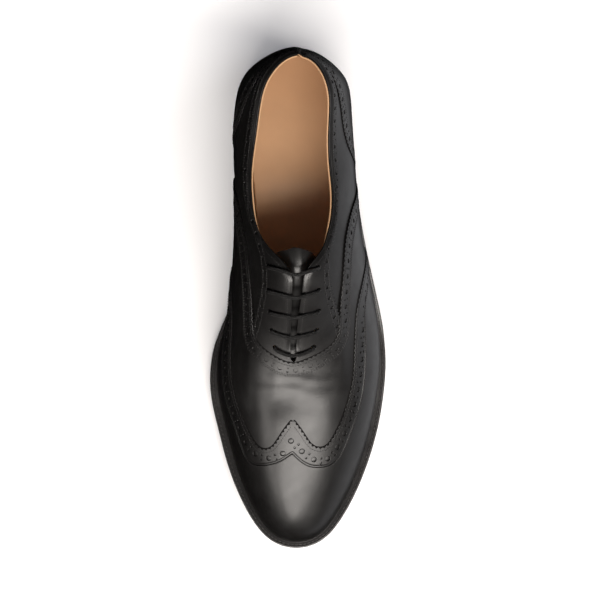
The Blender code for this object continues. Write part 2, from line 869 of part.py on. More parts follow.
def build_tongue(calf):
    """The tongue: under the wall at its foot, lower behind the laces' inner runs."""
    edge = trace(TONGUE_EDGE, EDGE_STEP)[:-1]
    spots, faces = mesh_pattern(edge, [], [])
    high = -(WALL + GAP)
    drop = LACE_UNDER + 2 * LACE_RADIUS + LACE_UNDER - GAP

    def top(u, v):
        start, end = TONGUE_RISE
        return high - drop * ease((u - start) / (end - start))

    def under(u, v):
        return top(u, v) - TONGUE

    return leather("tongue", spots, faces, under, top, 0.0, calf)


def main():
    """Clear the scene and build the shoe."""
    for item in list(bpy.data.objects):
        bpy.data.objects.remove(item, do_unlink=True)
    calf = finish("black_calf", (0.012, 0.011, 0.011), 0.28)
    edge_leather = finish("black_edge", (0.018, 0.016, 0.015), 0.42)
    rubber = finish("black_rubber", (0.02, 0.02, 0.02), 0.7)
    sock_leather = finish("tan_sock", (0.42, 0.24, 0.12), 0.6)
    cord = finish("black_lace", (0.012, 0.012, 0.012), 0.6)
    pieces = build_sole(edge_leather, rubber, sock_leather)
    pieces += build_upper(calf)
    pieces.append(build_tongue(calf))
    path = round_off(lace_points(), LACE_BEND)
    pieces.append(tube("laces", path, LACE_RADIUS, LACE_SIDES, cord))
    shoe = bpy.data.objects.new("brogue_shoe", None)
    bpy.context.scene.collection.objects.link(shoe)
    for piece in pieces:
        piece.parent = shoe


if __name__ == "__main__":
    main()
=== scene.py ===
"""The looks of a full-brogue wing-tip oxford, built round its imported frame.

Metres, +Z up. The toe points to -Y and the heel to +Y, the outer side of the foot lies
at +X and the inner side at -X. Every piece of the upper is cut from a flat pattern with
the places u and v: u runs from 0 at the toe to 1 at the back of the heel, v from -1 at the
inner feather line over 0 on the ridge to 1 at the outer feather line.
"""

from __future__ import annotations

import logging  # noqa: E402
import math  # noqa: E402
from dataclasses import dataclass, field  # noqa: E402
from enum import Enum  # noqa: E402
from typing import Callable, Sequence  # noqa: E402

import bpy  # noqa: E402
import numpy as np  # noqa: E402
from mathutils import Matrix, Vector  # noqa: E402
from mathutils.geometry import delaunay_2d_cdt  # noqa: E402


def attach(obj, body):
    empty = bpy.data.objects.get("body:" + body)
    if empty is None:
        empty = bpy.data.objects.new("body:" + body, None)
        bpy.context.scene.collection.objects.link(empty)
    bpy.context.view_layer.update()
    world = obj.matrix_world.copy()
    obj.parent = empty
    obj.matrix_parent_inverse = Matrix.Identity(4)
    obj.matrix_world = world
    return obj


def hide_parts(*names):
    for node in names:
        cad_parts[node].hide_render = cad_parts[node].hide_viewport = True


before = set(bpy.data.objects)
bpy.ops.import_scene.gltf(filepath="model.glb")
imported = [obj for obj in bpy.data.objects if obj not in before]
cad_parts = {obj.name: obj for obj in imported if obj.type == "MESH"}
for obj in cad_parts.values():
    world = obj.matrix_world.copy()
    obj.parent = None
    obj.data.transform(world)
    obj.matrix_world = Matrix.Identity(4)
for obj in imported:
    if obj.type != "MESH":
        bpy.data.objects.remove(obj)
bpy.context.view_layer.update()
LOG = logging.getLogger("brogue")

Path = np.ndarray
Height = Callable[[np.ndarray, np.ndarray], np.ndarray]
Spot = tuple[float, float]

NUDGE = 1e-3
FINE_NUDGE = 2e-4
ON_SEAM = 1e-5
POLE_WIDTH = 0.02
POLE_RANGE = (0.01, 0.99)

# Steps of a seam and of a feather line for one unit of v or u, and a seam's free ends
SEAM_STEPS = 36
FEATHER_STEPS = 180
SEAM_FREE = 0.01

# Degrees: where a sole piece turns sharp, and how far a cord may turn without a bend
SHARP_ANGLE, STRAIGHT_ANGLE = 38, 8

# Sides of the lace holes, of the large perforations and of the small ones
HOLE_SIDES, LARGE_SIDES, SMALL_SIDES = 16, 14, 8

# Flat pattern: scale of u and v in metres
PATTERN_U = 0.40
PATTERN_V = 0.085

# Half widths of the sole in shares of half the ball width: share of length, inner, outer
SOLE_OUTLINE = (
    (0.0, -0.028, -0.028), (0.018, -0.338, 0.284), (0.0545, -0.520, 0.473),
    (0.1086, -0.682, 0.650), (0.167, -0.806, 0.789), (0.2355, -0.908, 0.905),
    (0.2827, -0.970, 0.957), (0.326, -1.000, 0.987), (0.369, -0.991, 1.000),
    (0.406, -0.950, 0.991), (0.446, -0.867, 0.964), (0.478, -0.794, 0.927),
    (0.5216, -0.700, 0.867), (0.551, -0.645, 0.826), (0.631, -0.580, 0.720),
    (0.714, -0.600, 0.645), (0.797, -0.645, 0.607), (0.870, -0.678, 0.580),
    (0.940, -0.607, 0.510), (0.980, -0.385, 0.288), (1.0, -0.049, -0.049),
)

# Width of the welt outside the feather line, in metres, at shares of the length
WELT_MARGIN = ((0.0, 0.0050), (0.30, 0.0058), (0.55, 0.0030), (0.75, 0.0020), (1.0, 0.0020))

# The ridge of the last: share of length, side and height in shares of the driving sizes
RIDGE_START = 0.085
RIDGE_SPAN = 0.775
RIDGE_LINE = (
    (0.085, -0.055, 0.405), (0.150, -0.075, 0.458), (0.220, -0.095, 0.503),
    (0.300, -0.110, 0.553), (0.370, -0.120, 0.606), (0.460, -0.120, 0.760),
    (0.560, -0.112, 0.955), (0.660, -0.112, 0.920), (0.760, -0.100, 0.930),
    (0.860, -0.080, 1.120),
)
SLOPE_FADE = (0.56, 0.66)

# Cross sections: share, then rise, flare and crown, each of the inner and the outer side
SECTIONS = (
    (0.0, 0.50, 0.50, 0.00, 0.00, 0.62, 0.62), (0.15, 0.48, 0.48, 0.02, 0.02, 0.66, 0.62),
    (0.33, 0.45, 0.45, 0.03, 0.03, 0.66, 0.56), (0.45, 0.40, 0.45, 0.16, 0.02, 0.62, 0.52),
    (0.55, 0.35, 0.45, 0.50, 0.01, 0.58, 0.48), (0.66, 0.36, 0.40, 0.74, 0.08, 0.42, 0.36),
    (0.77, 0.36, 0.38, 0.72, 0.14, 0.36, 0.32), (0.88, 0.34, 0.35, 0.40, 0.08, 0.52, 0.52),
    (1.0, 0.33, 0.33, 0.04, 0.00, 1.00, 1.00),
)
FEATHER_ZONE = 0.12

# Edge of the opening, from the foot of the throat to the back seam: u, inner v, outer v
THROAT_CENTRE = 0.011
THROAT_FOOT = (0.4255, THROAT_CENTRE)
THROAT_ROWS = 3
COLLAR_START, COLLAR_BLEND = 0.575, 0.05
COLLAR = (
    (0.430, -0.012, 0.028), (0.500, -0.024, 0.038), (0.556, -0.036, 0.078),
    (0.567, -0.095, 0.104), (0.575, -0.200, 0.160), (0.581, -0.320, 0.215),
    (0.590, -0.396, 0.290), (0.605, -0.443, 0.354), (0.628, -0.468, 0.418),
    (0.660, -0.474, 0.446), (0.700, -0.460, 0.426), (0.760, -0.432, 0.390),
    (0.820, -0.412, 0.362), (0.880, -0.420, 0.374), (0.940, -0.448, 0.430),
    (1.000, -0.463, 0.463),
)

# Front line of the wings, inner side then outer side of the centre peak
CAP_INNER = (
    (0.552, -1.000), (0.541, -0.870), (0.522, -0.750), (0.492, -0.660), (0.450, -0.603),
    (0.400, -0.562), (0.355, -0.508), (0.309, -0.420), (0.281, -0.300), (0.279, -0.205),
    (0.300, -0.090), (0.321, 0.000),
)
CAP_OUTER = (
    (0.321, 0.000), (0.296, 0.075), (0.277, 0.160), (0.279, 0.235), (0.312, 0.345),
    (0.348, 0.414), (0.400, 0.463), (0.458, 0.487), (0.499, 0.549), (0.527, 0.670),
    (0.545, 0.790), (0.568, 1.000),
)

# Rear line of the vamp, which swings under the lacing
VAMP_LINE = (
    (0.655, -1.000), (0.628, -0.760), (0.612, -0.655), (0.580, -0.550), (0.542, -0.468),
    (0.500, -0.398), (0.462, -0.335), (0.446, -0.240), (0.432, -0.120), (0.423, THROAT_CENTRE),
    (0.431, 0.120), (0.444, 0.240), (0.460, 0.322), (0.500, 0.377), (0.542, 0.449),
    (0.584, 0.533), (0.614, 0.645), (0.630, 0.760), (0.660, 1.000),
)

# Lower line of the facing and of the strip along the collar: u, inner v, outer v
FACING_LINE = (
    (0.450, -0.390, 0.386), (0.480, -0.345, 0.350), (0.509, -0.318, 0.316),
    (0.535, -0.312, 0.297), (0.560, -0.345, 0.308), (0.585, -0.424, 0.346),
    (0.606, -0.494, 0.416), (0.634, -0.530, 0.478), (0.683, -0.530, 0.497),
    (0.735, -0.512, 0.474), (0.784, -0.490, 0.442), (0.832, -0.474, 0.424),
    (0.880, -0.486, 0.440), (0.935, -0.520, 0.500), (1.000, -0.535, 0.535),
)

# Front line of the counter, from the strip down to the feather line: u, inner v, outer v
COUNTER_LINE = (
    (0.935, -0.520, 0.500), (0.905, -0.522, 0.496), (0.870, -0.520, 0.488),
    (0.828, -0.530, 0.505), (0.785, -0.580, 0.566), (0.740, -0.640, 0.636),
    (0.705, -0.740, 0.736), (0.684, -0.860, 0.860), (0.668, -1.000, 1.000),
)

# Lace holes from the top row down: inner u and v, outer u and v
EYELETS = (
    (0.556, -0.275, 0.566, 0.210), (0.527, -0.250, 0.534, 0.194), (0.500, -0.215, 0.504, 0.184),
    (0.474, -0.178, 0.475, 0.167), (0.449, -0.136, 0.449, 0.144),
)

# The tongue's edge, from its foot round the outer side
TONGUE_EDGE = (
    (0.412, 0.010), (0.414, 0.110), (0.432, 0.215), (0.480, 0.268), (0.545, 0.290),
    (0.582, 0.268), (0.594, 0.200), (0.6036, 0.100), (0.6074, 0.000), (0.5998, -0.100),
    (0.586, -0.200), (0.568, -0.300), (0.540, -0.330), (0.480, -0.285), (0.432, -0.205),
    (0.414, -0.100), (0.412, 0.010),
)
TONGUE_RISE = (0.414, 0.436)

# Soft creases over the leather: two ends, depth (a ridge is negative) and half width
CREASES = (
    (0.402, -0.16, 0.398, 0.12, 0.00022, 0.0030), (0.384, -0.30, 0.378, 0.02, 0.00016, 0.0036),
    (0.392, 0.10, 0.400, 0.34, 0.00018, 0.0032), (0.366, -0.10, 0.372, 0.26, 0.00012, 0.0040),
    (0.358, -0.32, 0.358, 0.38, 0.00090, 0.0100), (0.640, 0.60, 0.600, 0.86, 0.00030, 0.0060),
    (0.660, -0.62, 0.600, -0.90, 0.00030, 0.0060), (0.720, 0.56, 0.700, 0.80, 0.00020, 0.0060),
    (0.560, 0.34, 0.548, 0.42, 0.00020, 0.0030), (0.575, -0.46, 0.552, -0.52, 0.00020, 0.0030),
)


class Side(Enum):
    """A side of the foot: the column of a table that holds it."""

    INNER = 1
    OUTER = 2

    @property
    def sign(self) -> int:
        """Give the sign of v on this side."""
        return -1 if self is Side.INNER else 1

    @property
    def hole(self) -> int:
        """Give the column where this side's u stands in the table of lace holes."""
        return 2 * self.value - 2


def curve(places: Sequence[float], values: Sequence[float]) -> Callable:
    """Make a natural cubic through the values.

    Args:
        places: Where the values stand, rising.
        values: The values to pass through.

    Returns:
        A function that reads the curve at any place.
    """
    x = np.asarray(places, float)
    y = np.asarray(values, float)
    step = np.diff(x)
    system = np.eye(len(x))
    pull = np.zeros(len(x))
    for i in range(1, len(x) - 1):
        system[i, i - 1 : i + 2] = step[i - 1], 2 * (step[i - 1] + step[i]), step[i]
        pull[i] = 6 * ((y[i + 1] - y[i]) / step[i] - (y[i] - y[i - 1]) / step[i - 1])
    bend = np.linalg.solve(system, pull)

    def read(place: np.ndarray) -> np.ndarray:
        """Read the curve at a place."""
        at = np.clip(place, x[0], x[-1])
        i = np.clip(np.searchsorted(x, at) - 1, 0, len(x) - 2)
        width = x[i + 1] - x[i]
        left = (x[i + 1] - at) / width
        right = 1 - left
        arch = (left**3 - left) * bend[i] + (right**3 - right) * bend[i + 1]
        return left * y[i] + right * y[i + 1] + arch * width**2 / 6

    return read


def ease(value: np.ndarray) -> np.ndarray:
    """Step smoothly from 0 to 1."""
    t = np.clip(value, 0, 1)
    return t * t * (3 - 2 * t)


def unit(vectors: np.ndarray) -> np.ndarray:
    """Scale vectors to length one."""
    return vectors / np.maximum(np.linalg.norm(vectors, axis=-1, keepdims=True), 1e-12)


def run_of(points: np.ndarray) -> np.ndarray:
    """Give how far along a line of points each of them lies."""
    legs = np.linalg.norm(np.diff(points, axis=0), axis=1)
    return np.concatenate([[0], np.cumsum(legs)])


def on_path(at: np.ndarray, run: np.ndarray, path: np.ndarray) -> np.ndarray:
    """Give the places at distances along a path, by how far along its own places lie."""
    return np.stack([np.interp(at, run, column) for column in path.T], axis=-1)


def off_poles(u: np.ndarray, v: np.ndarray) -> np.ndarray:
    """Keep u on the ridge away from the last's two ends, where all its curves meet."""
    return np.where(np.abs(v) < POLE_WIDTH, np.clip(u, *POLE_RANGE), u)


def near_feather(v: np.ndarray) -> np.ndarray:
    """Tell how near, from 0 to 1, places lie to the feather line."""
    return ease((np.abs(v) - 1 + FEATHER_ZONE) / FEATHER_ZONE)


@dataclass
class Last:
    """The last that the shoe is lasted on, with the sole profile under it."""

    length: float = 0.301
    ball_width: float = 0.107
    instep_height: float = 0.104
    heel_pitch: float = 0.025
    toe_spring: float = 0.012
    outsole: float = 0.0048
    welt: float = 0.0028
    gap: float = 0.0003
    spring_end: float = 0.30
    spring_power: float = 1.8
    arch_start: float = 0.40
    breast: float = 0.755

    def __post_init__(self) -> None:
        """Draw the curves of the outline, the ridge and the sections."""
        loop = [(self.turn_of(share), outer) for share, _, outer in SOLE_OUTLINE]
        loop += [(2 * math.pi - self.turn_of(share), side) for share, side, _ in SOLE_OUTLINE[1:-1]]
        loop.sort()
        laps = [(turn + lap * 2 * math.pi, side) for lap in (-1, 0, 1) for turn, side in loop]
        self.outline_side = curve(*zip(*laps))
        self.margin = curve(*zip(*WELT_MARGIN))
        shares, sides, heights = zip(*RIDGE_LINE)
        self.ridge_side = curve(shares, sides)
        self.ridge_height = curve(shares, heights)
        rows = list(zip(*SECTIONS))
        self.shape = [curve(rows[0], row) for row in rows[1:]]

    @staticmethod
    def turn_of(share: float) -> float:
        """Give the angle along the outline that belongs to a share of the length."""
        return math.acos(1 - 2 * share)

    def outline(self, turn: np.ndarray, inset: np.ndarray) -> np.ndarray:
        """Give plan points of the sole's outline, moved inwards.

        Args:
            turn: Angles along the outline, 0 at the toe.
            inset: How far each point is moved inwards.

        Returns:
            One x and y for each angle.
        """
        turn = np.asarray(turn, float)

        def at(angle: np.ndarray) -> np.ndarray:
            """Give the outline itself at an angle."""
            side = self.outline_side(angle) * self.ball_width / 2
            return np.stack([side, -np.cos(angle) * self.length / 2], axis=-1)

        along = unit(at(turn + NUDGE) - at(turn - NUDGE))
        inward = np.stack([-along[..., 1], along[..., 0]], axis=-1)
        return at(turn) + inward * np.asarray(inset)[..., None]

    def tread(self, y: np.ndarray) -> np.ndarray:
        """Give the height of the outsole's underside above the floor."""
        share = np.asarray(y) / self.length + 0.5
        toe = np.clip((self.spring_end - share) / self.spring_end, 0, 1) ** self.spring_power
        arch = ease((share - self.arch_start) / (self.breast - self.arch_start))
        return self.toe_spring * toe + self.heel_pitch * arch

    def sole_top(self, y: np.ndarray) -> np.ndarray:
        """Give the height of the outsole's upper face."""
        return self.tread(y) + self.outsole

    def welt_top(self, y: np.ndarray) -> np.ndarray:
        """Give the height of the welt's upper face."""
        return self.sole_top(y) + self.gap + self.welt

    def points(self, u: np.ndarray, v: np.ndarray) -> np.ndarray:
        """Give points of the last's surface.

        Args:
            u: Places along the last.
            v: Places across the last.

        Returns:
            One point for each pair of places.
        """
        u, v = np.broadcast_arrays(np.asarray(u, float), np.asarray(v, float))
        side = np.where(v < 0, -1.0, 1.0) * np.where((u < 0) | (u > 1), -1.0, 1.0)
        u = np.abs(u)
        u = np.where(u > 1, 2 - u, u)
        turn = side * math.pi * u
        share = (1 - np.cos(turn)) / 2
        foot = self.outline(turn, self.margin(share))
        foot_z = self.welt_top(foot[..., 1]) + self.gap

        at = RIDGE_START + RIDGE_SPAN * share
        top_x = self.ridge_side(at) * self.ball_width / 2
        top = np.stack([top_x, (at - 0.5) * self.length], axis=-1)
        top_z = self.ridge_height(at) * self.instep_height
        held = np.clip(at, RIDGE_START + NUDGE, RIDGE_START + RIDGE_SPAN - NUDGE)
        rise = self.ridge_height(held + NUDGE) - self.ridge_height(held - NUDGE)
        slope = rise * self.instep_height / (2 * NUDGE * self.length)
        slope = slope * (1 - ease((at - SLOPE_FADE[0]) / (SLOPE_FADE[1] - SLOPE_FADE[0])))

        out = foot - top
        reach = np.linalg.norm(out, axis=-1)
        out = out / reach[..., None]
        half = self.ball_width / 2
        inner = side < 0
        lift = np.where(inner, self.shape[0](share), self.shape[1](share))
        flare = np.where(inner, self.shape[2](share), self.shape[3](share)) * half
        crown = np.where(inner, self.shape[4](share), self.shape[5](share))

        t = 1 - np.abs(v)
        b0, b1, b2, b3 = (1 - t) ** 3, 3 * t * (1 - t) ** 2, 3 * t * t * (1 - t), t**3
        radius = b0 * reach + b1 * (reach + flare) + b2 * crown * reach
        height = top_z - foot_z
        crown_z = top_z + slope * out[..., 1] * crown * reach
        z = b0 * foot_z + b1 * (foot_z + lift * height) + b2 * crown_z + b3 * top_z
        plan = top + out * radius[..., None]
        return np.concatenate([plan, z[..., None]], axis=-1)

    def rates(self, u: np.ndarray, v: np.ndarray) -> tuple[np.ndarray, np.ndarray]:
        """Give how a point of the surface moves with u and with v.

        Args:
            u: Places along the last.
            v: Places across the last.

        Returns:
            The vectors for one unit of u and for one unit of v.
        """
        u = off_poles(u, v)
        along = self.points(u + NUDGE, v) - self.points(u - NUDGE, v)
        across = self.points(u, v + NUDGE) - self.points(u, v - NUDGE)
        return along / (2 * NUDGE), across / (2 * NUDGE)

    def outward(self, u: np.ndarray, v: np.ndarray) -> np.ndarray:
        """Give unit normals of the surface, level with the floor at the feather line."""
        u, v = np.broadcast_arrays(np.asarray(u, float), np.asarray(v, float))
        along, across = self.rates(u, v)
        normal = unit(np.cross(across, along))
        normal[..., 2] *= 1 - near_feather(v)
        return unit(normal)

    def skin(self, u: np.ndarray, v: np.ndarray, height: np.ndarray) -> np.ndarray:
        """Give points at a height above the surface that keep to the welt at the feather.

        Args:
            u: Places along the last.
            v: Places across the last.
            height: Height of each point above the surface.

        Returns:
            One point for each pair of places.
        """
        base = self.points(u, v)
        moved = base + self.outward(u, v) * np.asarray(height)[..., None]
        lift = self.welt_top(moved[..., 1]) - self.welt_top(base[..., 1])
        moved[..., 2] += near_feather(v) * lift
        return moved

    def steps(self, u: np.ndarray, v: np.ndarray, vectors: np.ndarray) -> Path:
        """Turn small vectors along the surface into steps of u and v."""
        pu, pv = self.rates(u, v)
        a, b, c = ((p * q).sum(-1) for p, q in ((pu, pu), (pu, pv), (pv, pv)))
        p, q = (pu * vectors).sum(-1), (pv * vectors).sum(-1)
        return np.stack([c * p - b * q, a * q - b * p], axis=-1) / (a * c - b * b)[..., None]

    def shift(self, path: Path, distance: float | np.ndarray) -> Path:
        """Move a pattern line sideways over the surface.

        Args:
            path: Places along the line.
            distance: How far, in metres; positive to the right, seen from outside.

        Returns:
            The places of the moved line.
        """
        u, v = path.T
        pu, pv = self.rates(u, v)
        along = np.gradient(self.points(u, v), axis=0)
        aside = unit(np.cross(along, np.cross(pv, pu)))
        return path + self.steps(u, v, aside) * np.broadcast_to(distance, len(path))[:, None]

    def spaced(self, path: Path, step: float, even: bool = False) -> Path:
        """Set new places along a pattern line at equal distances.

        Args:
            path: Places along the line.
            step: The distance to keep to, in metres.
            even: Whether the number of steps has to be even.

        Returns:
            The new places, both ends included.
        """
        run = run_of(self.points(*path.T))
        count = max(2, round(run[-1] / step))
        count += count % 2 if even else 0
        return on_path(np.linspace(0, run[-1], count + 1), run, path)

    def circle(self, spot: Spot, radius: float, sides: int) -> Path:
        """Give places round a spot at a radius in metres."""
        u, v = (np.full(sides, value) for value in spot)
        pu, pv = self.rates(u, v)
        normal = unit(np.cross(pv, pu))
        first = unit(pu)
        second = np.cross(normal, first)
        angle = ((np.arange(sides) + 0.5) * 2 * math.pi / sides)[:, None]
        arm = radius * (first * np.cos(angle) + second * np.sin(angle))
        return np.stack([u, v], axis=-1) + self.steps(u, v, arm)


LAST = Last()


def trace(points: Sequence[Spot], step: float = 0.0015) -> Path:
    """Draw a smooth line through pattern spots.

    Args:
        points: The spots, in order.
        step: Distance between the places of the line, in metres of flat pattern.

    Returns:
        The places of the line.
    """
    path = np.asarray(points, float)
    legs = np.hypot(np.diff(path[:, 0]) * PATTERN_U, np.diff(path[:, 1]) * PATTERN_V)
    run = np.concatenate([[0], np.cumsum(legs)])
    count = max(2, math.ceil(run[-1] / step)) + 1
    at = np.linspace(0, run[-1], count)
    return np.stack([curve(run, path[:, 0])(at), curve(run, path[:, 1])(at)], axis=-1)


def side_of(rows: Sequence[tuple[float, float, float]], side: Side) -> list[Spot]:
    """Take one side's line from a table whose rows hold u, inner v and outer v."""
    return [(row[0], row[side.value]) for row in rows]


def inside(polygon: Path, points: Path) -> np.ndarray:
    """Tell which pattern places lie in a closed polygon."""
    found = np.zeros(len(points), bool)
    u, v = points[:, 0], points[:, 1]
    for (u0, v0), (u1, v1) in zip(polygon, np.roll(polygon, -1, axis=0)):
        spans = (v0 > v) != (v1 > v)
        rise = v1 - v0 if v1 != v0 else 1.0
        found ^= spans & (u < (u1 - u0) * (v - v0) / rise + u0)
    return found


def relief(u: np.ndarray, v: np.ndarray) -> np.ndarray:
    """Give the soft creases of the leather as heights that every layer follows."""
    spots = np.stack([u * PATTERN_U, v * PATTERN_V], axis=-1)
    total = np.zeros(len(u))
    for u0, v0, u1, v1, depth, width in CREASES:
        start = np.array([u0 * PATTERN_U, v0 * PATTERN_V])
        leg = np.array([u1 * PATTERN_U, v1 * PATTERN_V]) - start
        share = np.clip((spots - start) @ leg / (leg @ leg), 0, 1)
        away = np.linalg.norm(spots - start - share[:, None] * leg, axis=-1)
        total -= depth * np.exp(-((away / width) ** 2))
    return total


def reach_of(u: np.ndarray, v: np.ndarray, line: Path) -> np.ndarray:
    """Give the distance in metres from places to the nearest point of a pattern line."""
    spots = LAST.points(u, v)
    corners = LAST.points(*line.T)
    start, leg = corners[:-1], np.diff(corners, axis=0)
    size = np.maximum((leg**2).sum(-1), 1e-12)
    nearest = np.empty(len(spots))
    chunk = 2000
    for first in range(0, len(spots), chunk):
        arm = spots[first : first + chunk, None, :] - start
        share = np.clip((arm * leg).sum(-1) / size, 0, 1)
        away = np.linalg.norm(arm - share[..., None] * leg, axis=-1)
        nearest[first : first + chunk] = away.min(axis=1)
    return nearest


@dataclass
class Pattern:
    """A triangulated flat pattern, cut from one or more borders."""

    borders: list[Path]
    rows: list[Path] = field(default_factory=list)
    rings: list[Path] = field(default_factory=list)
    step: float = 0.0022

    def net(self, border: Path, taken: list[Spot]) -> list[Spot]:
        """Fill a border with places that keep a distance from each other and its edge.

        Args:
            border: The closed border.
            taken: Places that are there already.

        Returns:
            The new places.
        """
        cell = self.step * 0.80
        near: dict[tuple[int, int, int], list[np.ndarray]] = {}

        def key(place: np.ndarray) -> tuple[int, int, int]:
            """Give the cell that a point lies in."""
            return tuple(int(value) for value in np.floor(place / cell))

        for place in LAST.points(*np.asarray(taken).T):
            near.setdefault(key(place), []).append(place)
        low, high = border.min(axis=0), border.max(axis=0)
        du, dv = self.step * 0.866 / PATTERN_U, self.step / PATTERN_V
        rows_u = np.arange(low[0] + du / 2, high[0], du)
        chosen = []
        for i, u in enumerate(rows_u):
            vs = np.arange(low[1] + dv * (0.5 if i % 2 else 1.0), high[1], dv)
            chosen.append(np.stack([np.full(len(vs), u), vs], axis=-1))
        spots = np.concatenate(chosen)
        spots = spots[inside(border, spots)]
        for ring in self.rings:
            spots = spots[~inside(ring, spots)]
        kept = []
        around = [(i, j, k) for i in (-1, 0, 1) for j in (-1, 0, 1) for k in (-1, 0, 1)]
        for spot, place in zip(spots.tolist(), LAST.points(*spots.T)):
            a, b, c = key(place)
            crowd = [p for i, j, k in around for p in near.get((a + i, b + j, c + k), ())]
            if crowd and (np.linalg.norm(np.array(crowd) - place, axis=1) < cell).any():
                continue
            near.setdefault((a, b, c), []).append(place)
            kept.append(tuple(spot))
        return kept

    def cut(self) -> tuple[np.ndarray, np.ndarray]:
        """Triangulate every border, and join the halves along the toe fold and back seam.

        Returns:
            The places, and the triangles that wind outwards.
        """
        all_spots: list[np.ndarray] = []
        all_faces: list[np.ndarray] = []
        total = 0
        for border in self.borders:
            points = [tuple(row) for row in border]
            edges = [(i, (i + 1) % len(points)) for i in range(len(points))]
            for row in self.rows:
                held = inside(border, row)
                for i, place in enumerate(row):
                    if held[i]:
                        points.append(tuple(place))
                        if i and held[i - 1]:
                            edges.append((len(points) - 2, len(points) - 1))
            for ring in self.rings:
                if not inside(border, ring).all():
                    continue
                first = len(points)
                points += [tuple(place) for place in ring]
                edges += [(first + i, first + (i + 1) % len(ring)) for i in range(len(ring))]
            points += self.net(border, points)
            scale = np.array([PATTERN_U, PATTERN_V]) * 1000
            flat = [Vector((v * scale[1], u * scale[0])) for u, v in points]
            out = delaunay_2d_cdt(flat, edges, [], 0, 1e-5)
            spots = np.array([(p.y / scale[0], p.x / scale[1]) for p in out[0]])
            faces = np.array([tuple(face) for face in out[2]])
            a, b, c = (spots[faces[:, i]] for i in range(3))
            turn = (b - a)[:, 1] * (c - a)[:, 0] - (b - a)[:, 0] * (c - a)[:, 1]
            faces[turn < 0] = faces[turn < 0][:, ::-1]
            middles = spots[faces].mean(axis=1)
            keep = inside(border, middles) & (np.abs(turn) > 1e-9)
            for ring in self.rings:
                keep &= ~inside(ring, middles)
            all_spots.append(spots)
            all_faces.append(faces[keep] + total)
            total += len(spots)
        spots, faces = np.concatenate(all_spots), np.concatenate(all_faces)
        return self.join(spots, faces)

    @staticmethod
    def join(spots: np.ndarray, faces: np.ndarray) -> tuple[np.ndarray, np.ndarray]:
        """Make one place of each pair that meets on the toe fold or the back seam."""
        keys: dict[tuple, int] = {}
        same = np.arange(len(spots))
        for i, (u, v) in enumerate(spots):
            if u < ON_SEAM or u > 1 - ON_SEAM:
                same[i] = keys.setdefault((round(u), round(abs(v), 3)), i)
        used, local = np.unique(same[faces], return_inverse=True)
        return spots[used], local.reshape(faces.shape)


def make_object(
    name: str, points: np.ndarray, faces: list, material: bpy.types.Material
) -> bpy.types.Object:
    """Make a smooth object of a closed mesh and link it."""
    mesh = bpy.data.meshes.new(name)
    mesh.from_pydata([tuple(map(float, point)) for point in points], [], faces)
    mesh.shade_smooth()
    mesh.materials.append(material)
    item = bpy.data.objects.new(name, mesh)
    bpy.context.scene.collection.objects.link(item)
    return item


